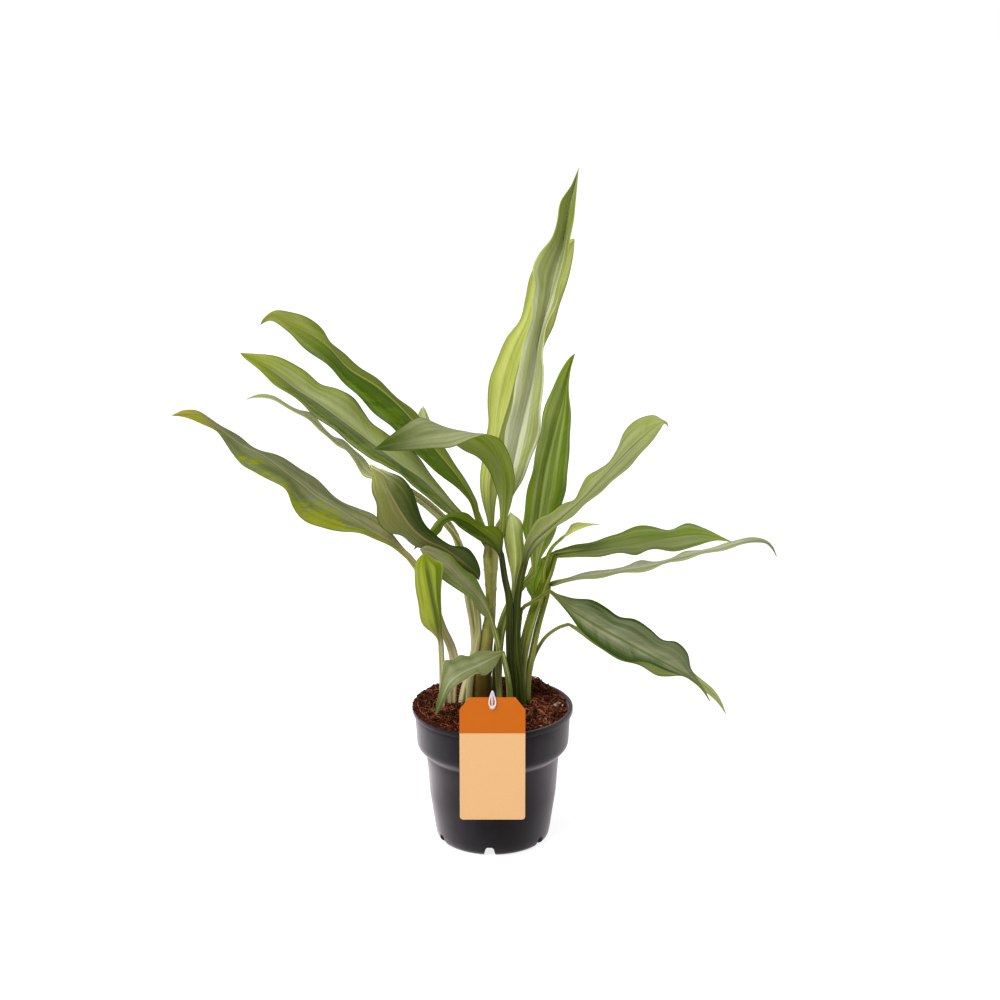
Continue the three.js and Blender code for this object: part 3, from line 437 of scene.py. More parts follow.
def leaf_rings(leaf):
    """Every ring of a leaf, from its stalk's foot to its tip."""
    stations, neck_point = blade_stations(leaf)
    shares = column_shares()
    side = (stations[0]["left"] - stations[0]["right"]).normalized()
    neck_side = side.copy()
    rings = []
    walked = 0.0
    for i, station in enumerate(stations):
        before = stations[max(i - 1, 0)]["rib"]
        after = stations[min(i + 1, BLADE_ROWS)]["rib"]
        along = (after - before).normalized()
        if i:
            walked += (station["rib"] - stations[i - 1]["rib"]).length
        across = station["left"] - station["right"]
        if across.length > 1.2:
            side = across.copy()
        side = (side - along * side.dot(along)).normalized()
        for part, sign in (("left", 1), ("right", -1)):
            reach = (station[part] - station["rib"]).dot(side) * sign
            if reach < TIP_HALF_WIDTH:
                station[part] = station[part] + side * sign * (TIP_HALF_WIDTH - reach)
        rings.append(blade_ring(station, along, side, walked, leaf, shares))
    return stalk_rings(leaf, neck_point, neck_side, shares) + rings


def leaf_bmesh(leaf):
    """One leaf with its stalk, and the two attributes that its finish reads."""
    rings = leaf_rings(leaf)
    bm = new_bmesh()
    blade = bm.verts.layers.float_vector.new("blade")
    share = bm.verts.layers.float_vector.new("share")
    for vertex, column, row in tube_grid(bm, len(rings[0]), len(rings) - 1):
        vertex.co, vertex[blade], vertex[share] = rings[row][column]
    close_and_face(bm)
    return bm


# Every leaf, in millimetres. A stalk goes from its foot up, through places as the eye sees them: how
# far right, how far up and how far back. The left edge, rib and right edge go from the blade's base
# to its tip, how far right and up, and back gives how far back they lie, at even steps.
LEAVES = [
    dict(
        name="leaf_tall_front",
        stalk=[[1, 236, 3], [4.5, 246, 2]],
        foot=2.6,
        neck=2.2,
        left=[
            [7, 256], [6.5, 285], [7.9, 313], [11, 328], [15.8, 348], [18.9, 370], [24.9, 393],
            [28.3, 412], [29.8, 428], [28.5, 440], [34.3, 451.5], [41, 461], [46, 474.6],
            [48.5, 489], [55.6, 500], [61, 512.7],
        ],
        rib=[
            [9, 256], [12, 273], [15, 292], [21, 322], [25, 340], [29, 357], [33.5, 387],
            [37.3, 404], [45.6, 440], [50, 456], [55.3, 488], [61, 512.7],
        ],
        right=[
            [11, 255], [16.5, 267], [24.5, 278], [30, 297], [35.5, 318], [35.4, 345], [38, 364],
            [35.6, 378], [41.2, 402], [48, 422.6], [52.6, 444], [55.5, 460], [58.8, 485],
            [61, 512.7],
        ],
        back=dict(
            left=[1, 1, 0, -2, -6, -8],
            rib=[2, 8, 11, 9, 2, -7],
            right=[2, 0, -2, -3, -6, -8],
        ),
    ),
    dict(
        name="leaf_tall_back",
        stalk=[[-1, 236, 5], [-1, 241, 8]],
        foot=2.6,
        neck=2.4,
        left=[
            [3, 247], [4.7, 264], [8, 290], [16, 320], [26, 350], [33, 368], [38, 383], [45, 402],
            [51.7, 424], [55.8, 439], [58, 452], [58.5, 461.5],
        ],
        rib=[
            [-1, 247], [-2.5, 275], [1, 300], [6, 320], [13, 345], [19, 370], [27, 395], [35, 415],
            [43, 440], [52, 455], [58.5, 461.5],
        ],
        right=[
            [-5, 248], [-10.6, 269.5], [-8.6, 297], [-3, 322], [-4.1, 337], [-2.9, 349], [0.3, 366],
            [10.3, 388], [19.6, 403], [23.8, 417], [27, 435], [36, 451], [48, 460], [58.5, 461.5],
        ],
        back=dict(
            left=[11, 30, 38, 46, 48, 45],
            rib=[10, 22, 30, 37, 42, 44],
            right=[11, 32, 42, 49, 49, 45],
        ),
    ),
    dict(
        name="leaf_arched_front",
        stalk=[[4, 229, -2], [6, 238, -5]],
        foot=2.4,
        neck=2.2,
        left=[
            [9.5, 246], [14.5, 262], [16.8, 278], [15.3, 292], [10, 306], [4, 314], [-4, 316.4],
            [-13, 313.3], [-23, 309.3], [-31, 306.5], [-43, 305.5], [-61, 304.5], [-75, 303.8],
            [-86, 305.2],
        ],
        rib=[
            [7, 245], [9, 262], [9.5, 280], [5, 298], [-4, 313], [-16, 317.8], [-30, 318],
            [-45, 316], [-65, 311], [-86, 305.2],
        ],
        right=[
            [4.6, 246], [4, 262], [1.8, 275], [-3, 288], [-11.4, 299.7], [-22, 304.5], [-30, 311],
            [-38, 321], [-52.6, 329.2], [-66.8, 321], [-77, 313], [-86, 305.2],
        ],
        back=dict(
            left=[-6, -10, -22, -44, -60, -68, -72],
            rib=[-7, -15, -22, -35, -50, -62, -72],
            right=[-6, -7, -6, -14, -30, -52, -71],
        ),
    ),
    dict(
        name="leaf_left_top",
        stalk=[[-2, 233, 1], [-6, 241, 2]],
        foot=2.4,
        neck=2.2,
        left=[
            [-12.5, 251], [-16.3, 263.5], [-24, 271.7], [-37, 283], [-54, 299], [-70.5, 318.5],
            [-88.8, 336], [-105.5, 354], [-122, 371], [-137, 382.5], [-147, 393.5], [-159, 401.5],
            [-166.5, 398.5],
        ],
        rib=[
            [-10.5, 251], [-15, 266], [-24, 282], [-40, 303], [-64, 334], [-83, 352], [-104, 366],
            [-117, 381], [-128, 390], [-143.5, 398], [-158, 404], [-166.5, 398.5],
        ],
        right=[
            [-8.5, 252], [-9, 264], [-13.2, 272], [-19.7, 283.4], [-28, 296], [-34, 305],
            [-45, 318], [-54, 330.5], [-62.3, 338.5], [-74, 350], [-90, 363], [-103, 374],
            [-115.3, 384], [-121.8, 395.6], [-133, 404], [-145, 408], [-156, 409], [-164.7, 402.5],
            [-166.5, 398.5],
        ],
        back=dict(
            left=[4, 3, 10, 24, 42, 66],
            rib=[4, 13, 24, 38, 52, 66],
            right=[5, 19, 34, 49, 60, 66],
        ),
    ),
    dict(
        name="leaf_left_upper",
        stalk=[[-2, 227, 5], [-8, 237, 5]],
        foot=2.2,
        neck=2,
        left=[
            [-17, 244], [-28, 250], [-38, 256.6], [-49.5, 269], [-60.5, 278], [-68.7, 287],
            [-79.6, 293.6], [-89, 297], [-104, 310.5], [-120, 323], [-137.7, 339], [-148.5, 348],
            [-158.6, 355], [-169.4, 366], [-178.8, 374], [-181.5, 377.6],
        ],
        rib=[
            [-15.5, 246], [-27, 257], [-42, 273], [-52, 283], [-65, 292], [-79, 303], [-104, 323],
            [-129, 342], [-142, 350.5], [-160, 365], [-181.5, 377.6],
        ],
        right=[
            [-13, 249], [-18.7, 256.5], [-26.5, 264], [-33.5, 272], [-46, 289], [-57, 303],
            [-74.4, 315.4], [-86.6, 324], [-93, 334], [-100.5, 344], [-112.7, 351], [-124.6, 355],
            [-136, 364.7], [-153.5, 374.6], [-171, 377], [-181.5, 377.6],
        ],
        back=dict(
            left=[5, 4, 5, 12, 26, 46],
            rib=[6, 13, 19, 27, 37, 47],
            right=[7, 22, 29, 37, 45, 47],
        ),
    ),
    dict(
        name="leaf_back_top",
        stalk=[[-3, 235, 7], [-7, 246, 15]],
        foot=2,
        neck=1.7,
        left=[
            [-11, 259], [-18, 276], [-29, 292], [-38, 308], [-44.5, 325], [-48, 334], [-50, 337.5],
        ],
        rib=[[-12, 259], [-21, 277], [-33, 294], [-42, 310], [-47, 324], [-50, 337.5]],
        right=[
            [-13.5, 260], [-25, 278], [-38, 296], [-47, 312], [-54, 329], [-52, 335.5],
            [-50, 337.5],
        ],
        back=dict(left=[25, 44, 58, 63, 56], rib=[24, 36, 46, 53, 55], right=[25, 46, 60, 65, 56]),
    ),
    dict(
        name="leaf_left_short",
        stalk=[
            [17, -6], [15.5, 118, -8], [13.5, 138, -9], [12.6, 160, -9], [12.8, 176, -9],
            [11.8, 192, -11], [9, 206, -14],
        ],
        foot=2.7,
        neck=2.1,
        left=[
            [4.5, 224], [-1, 228.5], [-8, 233], [-16, 239], [-24, 245], [-30, 250], [-35, 248],
            [-38, 242], [-44, 236], [-51, 232], [-58.5, 227.5],
        ],
        rib=[
            [6, 225], [0, 235], [-9, 243], [-19, 250], [-29, 253.5], [-37, 251], [-42, 245],
            [-48, 238], [-58.5, 227.5],
        ],
        right=[
            [9, 227], [11, 234], [9, 242], [3, 246], [-5, 246.5], [-12, 250], [-19, 256],
            [-27, 257.3], [-34, 255], [-41, 250], [-46, 243], [-53, 237], [-58.5, 227.5],
        ],
        back=dict(
            left=[-15, -22, -21, -10, -10],
            rib=[-15, -19, -16, -9, -10],
            right=[-15, -15, -8, -5, -10],
        ),
    ),
    dict(
        name="leaf_left_thin",
        stalk=[
            [-22, 0], [-21, 112, 1], [-16.5, 130, 3], [-12.5, 150, 5], [-13.5, 168, 6],
            [-17.5, 190, 8], [-22.5, 221, 14], [-29, 243, 20], [-45, 262, 26], [-66, 277, 27],
        ],
        foot=3,
        neck=1.6,
        left=[
            [-83, 280], [-93.4, 281], [-99.9, 295.6], [-105.5, 303], [-113.4, 307], [-121, 316.5],
            [-131, 325], [-140.5, 331], [-150, 338], [-160, 342.6], [-172, 344], [-178, 342.8],
        ],
        rib=[
            [-83, 282], [-92, 289], [-100, 299.5], [-110, 308.5], [-120, 317], [-131, 328],
            [-145, 335], [-158, 343.5], [-170, 345.5], [-178, 342.8],
        ],
        right=[
            [-83, 284], [-90, 296], [-101.8, 307], [-108.7, 312], [-117, 314], [-121.5, 319],
            [-130, 331.5], [-140.4, 334], [-149.8, 340], [-157.6, 345], [-168.7, 346.5],
            [-178, 342.8],
        ],
        back=dict(left=[26, 22, 28, 42, 66], rib=[27, 34, 44, 56, 67], right=[28, 47, 60, 68, 68]),
    ),
    dict(
        name="leaf_left_front",
        stalk=[
            [-18, -6.5], [-17.5, 114, -6], [-15.5, 136, -5.5], [-12.5, 150, -4], [-10.6, 166, 0],
            [-13, 188, 4], [-18, 212, 10], [-27, 238, 15], [-42, 256, 17], [-64, 274, 17],
            [-82, 287.5, 12],
        ],
        foot=2.1,
        neck=1.7,
        left=[
            [-86, 292.5], [-79.6, 293.6], [-74.5, 291], [-65.4, 286.5], [-59.8, 278],
            [-54.2, 260.7], [-49.9, 249], [-42.8, 240], [-30.5, 231.6], [-18.5, 229.3],
            [-11.6, 220], [-8.8, 210], [-10, 204],
        ],
        rib=[
            [-88, 291], [-81, 284], [-74.7, 271], [-67, 256.6], [-58, 243.5], [-48, 235],
            [-34, 228], [-20, 217], [-11.5, 209], [-10, 204],
        ],
        right=[
            [-90, 289.5], [-93, 282], [-91.2, 272], [-86.5, 263.5], [-84.4, 249.7], [-76.6, 241.4],
            [-67.4, 238.6], [-58.3, 231], [-48, 227.5], [-36, 220], [-24, 212], [-15, 207.5],
            [-10, 204],
        ],
        back=dict(
            left=[-2, -7, -13, -16, -15, -14],
            rib=[0, -15, -21, -21, -18, -14],
            right=[0, -12, -17, -17, -16, -14],
        ),
    ),
    dict(
        name="leaf_left_long",
        stalk=[
            [-31, 1], [-30.5, 116, 0], [-28.5, 140, -1], [-31, 152, -1], [-37, 166, -2],
            [-44, 188, -3], [-51, 206, -4], [-58.5, 218, -4],
        ],
        foot=3.1,
        neck=2.4,
        left=[
            [-64.8, 222], [-75, 229.5], [-87, 235], [-99, 240], [-112, 241.4], [-123.5, 243.6],
            [-136.4, 249], [-146, 261], [-152, 274.5], [-158.4, 280], [-173, 287], [-182, 292.5],
            [-189, 302.6], [-195.7, 312], [-201, 319], [-212, 325], [-223, 329.4], [-232.5, 330.7],
        ],
        rib=[
            [-63.5, 224], [-75, 234.4], [-95.4, 247], [-111.5, 258.5], [-129.6, 270], [-139, 278],
            [-151.5, 288], [-167, 300.5], [-183, 308.5], [-198, 320.5], [-212, 329.5],
            [-232.5, 330.7],
        ],
        right=[
            [-62, 226.5], [-70, 240], [-78, 250], [-86, 256.8], [-98.4, 260], [-107, 263.5],
            [-121, 275], [-133.5, 286], [-146, 295], [-158, 300.5], [-171.5, 306], [-184, 314.7],
            [-196.6, 323], [-205, 329], [-214, 334.4], [-224, 334.6], [-232.5, 330.7],
        ],
        back=dict(
            left=[-5, -19, -26, -26, -26, -25],
            rib=[-4, -7, -9, -12, -17, -24],
            right=[-3, 3, 4, -1, -10, -24],
        ),
    ),
    dict(
        name="leaf_left_low",
        stalk=[[5, -12], [5, 116, -12], [4, 135, -11], [4.6, 150, -10], [2, 163, -9]],
        foot=2,
        neck=1.8,
        left=[
            [-1.5, 170], [-9, 176], [-16, 189], [-20.4, 192.5], [-27.7, 198], [-37.5, 205],
            [-45, 214], [-50, 222], [-53.5, 228],
        ],
        rib=[
            [-0.7, 171.5], [-4.5, 181], [-11.3, 192], [-22.7, 205], [-33, 217], [-43.7, 226],
            [-53.5, 228],
        ],
        right=[
            [0.8, 172], [-2.4, 184], [-4, 189], [-8, 197.6], [-13, 207], [-19.4, 211.4], [-26, 218],
            [-30.7, 223.5], [-37, 227], [-43.6, 229.8], [-49, 231], [-53.5, 228],
        ],
        back=dict(
            left=[-10, -19, -27, -31, -29],
            rib=[-10, -15, -22, -27, -29],
            right=[-10, -14, -22, -26, -29],
        ),
    ),
    dict(
        name="leaf_left_young",
        stalk=[[-38, -5], [-37.5, 116, -6], [-37.8, 136, -7]],
        foot=2.4,
        neck=2.1,
        left=[
            [-40, 156], [-46.4, 162], [-53, 170], [-55.4, 189], [-57.6, 208], [-57, 217],
            [-53, 223], [-50, 225.5],
        ],
        rib=[[-38.5, 155], [-41.5, 175], [-45.5, 195], [-48.5, 212], [-50, 225.5]],
        right=[
            [-37, 155], [-37.2, 171], [-38, 193], [-37, 207], [-36.8, 217], [-43, 220.5],
            [-50, 225.5],
        ],
        back=dict(
            left=[-9, -18, -24, -26, -33],
            rib=[-9, -26, -34, -38, -35],
            right=[-9, -27, -37, -40, -36],
        ),
    ),
    dict(
        name="leaf_front_low",
        stalk=[[14, -15], [13, 114, -15], [11.8, 126, -15], [9.5, 138, -15]],
        foot=2.4,
        neck=1.8,
        left=[
            [6.5, 144.5], [4.4, 137], [-2.6, 130], [-7, 128.4], [-10.5, 130.7], [-21, 125],
            [-29.7, 118], [-35.8, 108], [-40, 100], [-42.8, 96.7],
        ],
        rib=[
            [7, 147], [-2, 141.5], [-13, 135.5], [-24, 130], [-32, 123], [-37.5, 111],
            [-42.8, 96.7],
        ],
        right=[
            [5.5, 149.5], [-4.8, 150.8], [-14, 148], [-18.3, 144.7], [-24.4, 145], [-30.6, 141],
            [-35.8, 140.5], [-38.2, 129], [-39.8, 115], [-42, 106], [-42.8, 96.7],
        ],
        back=dict(
            left=[-16, -31, -41, -45, -44],
            rib=[-15, -27, -37, -43, -44],
            right=[-15, -19, -27, -37, -44],
        ),
    ),
    dict(
        name="leaf_right_upper",
        stalk=[
            [22.5, -3], [20.5, 122, -4], [18, 145, -5], [17.6, 168, -6], [18.2, 188, -8],
            [20.6, 204, -11],
        ],
        foot=3,
        neck=2.3,
        left=[
            [22.5, 219], [21, 232], [26, 244], [32.4, 252.5], [42, 256], [51.8, 264], [59.4, 267],
            [64.8, 275], [69.6, 285], [76.3, 290], [86, 296.4], [90.8, 304], [94.9, 318],
            [104, 327], [116.8, 331], [123.2, 327.6], [126.5, 325.8], [127.7, 321.7],
        ],
        rib=[
            [24, 218], [26, 226], [31.8, 235], [42, 244], [56.9, 258], [69, 270], [81, 284],
            [93.3, 298], [104.9, 310], [118, 322], [125.6, 325.4], [127.7, 321.7],
        ],
        right=[
            [25.5, 217], [34, 229], [46.5, 245], [59.4, 254.4], [71.6, 266], [83.8, 277], [96, 288],
            [105.6, 299], [115.2, 310], [121.8, 320], [125, 324.6], [127.7, 321.7],
        ],
        back=dict(
            left=[-14, -22, -28, -36, -46, -62],
            rib=[-14, -26, -37, -47, -56, -62],
            right=[-14, -30, -43, -54, -62, -62],
        ),
    ),
    dict(
        name="leaf_right_spear",
        stalk=[
            [2, 9], [3.2, 128, 9], [4.2, 150, 9], [6.5, 166, 9], [11, 181, 8], [17, 193, 6],
            [24.5, 203, 2],
        ],
        foot=3,
        neck=2.4,
        left=[
            [28.5, 214], [20.7, 244], [22, 253], [24.3, 267], [28.9, 290], [33.9, 313], [36.2, 330],
            [42.9, 350], [49.2, 364], [55.6, 374], [59.2, 377],
        ],
        rib=[
            [31, 213], [31.5, 233], [34, 258], [38, 289], [43, 312], [47, 328], [51, 343],
            [54.5, 360], [59.2, 377],
        ],
        right=[
            [34.5, 213], [46.5, 234], [51, 262], [54, 275], [55.5, 299], [56.9, 325], [55.3, 355],
            [57.6, 372], [59.2, 377],
        ],
        back=dict(
            left=[-1, -8, -14, -18, -17],
            rib=[-1, -3, -7, -13, -16],
            right=[-1, -7, -13, -17, -17],
        ),
    ),
    dict(
        name="leaf_right_level",
        stalk=[
            [20.5, 6], [22, 141, 3], [24.7, 157, 1], [28.2, 172, 0], [31.8, 184, 0], [36.8, 198, 1],
            [41.5, 210, 2],
        ],
        foot=2.8,
        neck=3,
        left=[
            [46.5, 229], [53, 231.9], [60, 233.7], [76, 235], [90, 240], [104, 245.7], [118, 245.5],
            [131, 244], [143, 247.8], [155, 245], [168, 238], [175.8, 233.9],
        ],
        rib=[
            [47, 224.5], [52, 225], [68, 226.5], [88, 229.5], [108, 233], [128, 236.5],
            [148, 239.5], [163, 238], [175.8, 233.9],
        ],
        right=[
            [48, 220.8], [58, 221], [78, 222.4], [95, 224.6], [106, 224.6], [114, 227.3],
            [132.5, 227], [148.5, 230], [163.4, 235], [175.8, 233.9],
        ],
        back=dict(left=[5, 30, 46, 57, 56], rib=[4, 16, 31, 45, 55], right=[3, 4, 16, 31, 54]),
    ),
    dict(
        name="leaf_right_thin",
        stalk=[
            [27, 4], [25.5, 122, 5], [28, 138, 5], [30.4, 152, 5], [33.4, 167, 5], [37, 181, 5],
            [40, 192, 5],
        ],
        foot=2.2,
        neck=2,
        left=[
            [44, 205], [54, 206], [65, 210.6], [81, 212], [96, 214.7], [109, 218.8], [120, 218.7],
            [132.5, 221], [141.6, 225.6], [158.7, 228.5], [176.8, 234], [189, 237.8], [201, 235],
            [206, 230], [209, 222.5],
        ],
        rib=[
            [43.5, 201], [54, 204], [78, 208.5], [98, 212], [120, 216], [140, 222], [160, 227],
            [180, 232.8], [195, 235.5], [204.5, 231], [209, 222.5],
        ],
        right=[
            [43.5, 197.5], [51, 201.8], [59, 203.4], [78, 205.6], [98.4, 209.4], [118.5, 212.8],
            [129.6, 217], [148.7, 222.7], [162.8, 225.4], [182.8, 231.8], [200, 232.9],
            [204.5, 229.5], [209, 222.5],
        ],
        back=dict(
            left=[6, 13, 10, 0, -22],
            rib=[5, 0, -6, -14, -23],
            right=[4, -13, -21, -27, -24],
        ),
    ),
    dict(
        name="leaf_right_low",
        stalk=[
            [17.5, 9], [18.6, 150, 2], [20.2, 172, -1], [22, 182, -5], [28.5, 186.5, -7],
            [35.5, 191, -8],
        ],
        foot=1.5,
        neck=1.5,
        left=[
            [43.5, 196], [51, 196], [62, 192.8], [74, 190.7], [84.4, 183.7], [94.6, 175.6],
            [105.8, 173], [117, 166], [127, 157], [136.6, 155], [144.9, 147], [148.2, 134],
            [152.5, 126], [158.5, 117], [162.5, 108],
        ],
        rib=[
            [43.5, 194.7], [58.3, 181], [78.6, 167.5], [99, 155.6], [119.4, 143.6], [139.8, 131.8],
            [150, 124.5], [157, 116.5], [162.5, 108],
        ],
        right=[
            [42.5, 193], [47, 188], [56.4, 175.6], [64.7, 164], [77, 153.4], [89.6, 144.7],
            [100, 139.5], [113, 139.2], [128.4, 132.7], [147, 125.6], [156.4, 116.8], [162.5, 108],
        ],
        back=dict(
            left=[-9, -17, -27, -39, -55],
            rib=[-9, -24, -38, -49, -56],
            right=[-9, -26, -40, -51, -56],
        ),
    ),
    dict(
        name="leaf_right_low_back",
        stalk=[
            [26.5, 12], [28, 131, 11], [30, 141, 11], [34, 151, 10], [39, 159, 9], [44, 163.6, 8],
            [50, 167.4, 7],
        ],
        foot=1.6,
        neck=1.3,
        left=[
            [58, 170], [72, 168], [88, 162], [104, 156], [120, 150], [135, 142.5], [149.8, 131],
            [156, 126], [162, 120.6], [167.4, 114], [171, 107], [174.5, 98],
        ],
        rib=[
            [58, 168.5], [72, 160], [90, 151], [108, 145], [125, 139], [140, 132.5], [153, 125],
            [164, 116], [170, 109], [174.5, 98],
        ],
        right=[
            [57.5, 167], [66, 160], [79.4, 149.6], [93.8, 142], [108, 136.5], [122.6, 129.4],
            [130.8, 128.3], [140.9, 127.5], [150, 123], [160, 115], [168, 107], [174.5, 98],
        ],
        back=dict(left=[6, 20, 19, 8, -7], rib=[6, 8, 5, 0, -8], right=[6, -3, -7, -8, -9]),
    ),
    dict(
        name="leaf_right_inner",
        stalk=[[22, 13], [24, 152, 11], [27.8, 166, 12], [29.5, 178, 13]],
        foot=1.6,
        neck=1.6,
        left=[[28.5, 189.5], [25.2, 195], [24.4, 204], [27, 213], [33, 219], [39, 223]],
        rib=[[30, 189], [31.5, 200], [34.5, 211], [39, 223]],
        right=[[31.5, 189], [37, 196], [41, 205], [42, 214], [39, 223]],
        back=dict(left=[13, 9, 9, 13], rib=[13, 14, 14, 13], right=[13, 9, 9, 13]),
    ),
    dict(
        name="leaf_right_small",
        stalk=[[37.5, 201, 1], [38, 214, -3], [43.5, 229, -3]],
        foot=1.7,
        neck=1.2,
        left=[
            [50.5, 237.5], [54, 240.5], [55.8, 244], [57.5, 247], [61, 248.7], [66, 248.8],
            [72, 248.2], [78.6, 247.5],
        ],
        rib=[[50.8, 236.8], [55, 241], [60, 245], [68, 247], [78.6, 247.5]],
        right=[[51.5, 236], [56, 239], [61, 242.3], [67, 245], [73, 246.8], [78.6, 247.5]],
        back=dict(left=[0, 7, 10, 9], rib=[0, 2, 6, 9], right=[0, -4, 2, 9]),
    ),
    dict(
        name="sheath_young",
        stalk=[[13, 2], [14.5, 125, 1], [15, 150, 0], [15, 172, -1]],
        foot=1.5,
        neck=1.6,
        left=[[13.6, 190], [14.6, 203], [12.8, 220], [10.6, 235], [9.7, 247], [13.2, 257]],
        rib=[[15, 190], [16, 205], [17, 220], [15.8, 238], [14.5, 250], [13.2, 257]],
        right=[[16.5, 190], [17.8, 203], [21.5, 220], [20.7, 238], [19.6, 249], [13.2, 257]],
        back=dict(left=[-2, -4, -4, -6], rib=[-2, -8, -9, -7], right=[-2, -4, -4, -6]),
    ),
]


def look(slot, upper, silver, rib, under, stalk, stripe, **more):
    """How one leaf is coloured, in sRGB, and how much of each effect it has.

    Upper is the half on the leaf's own left, and other the half on its right. These two half tones
    carry painted light and shade besides the leaf's own colour: each half is painted with the light
    and shade that falls on it in the studio.
    """
    made = {
        "slot": slot,
        "upper": upper,
        "silver": silver,
        "rib_colour": rib,
        "under": under,
        "stalk_colour": stalk,
        "stripe": stripe,
        "silver_amount": 0.5,
        "other": upper,
        "tip": upper,
        "tip_amount": 0.0,
        "tip_start": 0.75,
        "patch": (140, 155, 50),
        "patch_amount": 0.0,
        "patch_side": 0.0,
        "margin": upper,
        "band_amount": 0.35,
        "foot_amount": 0.1,
        "wave": 1.0,
        "wave_length": 34,
        "sheath": 0.0,
        "girth": 1.0,
        "breadth": 1.0,
        "rib_width": 0.9,
    }
    made.update(more)
    return made


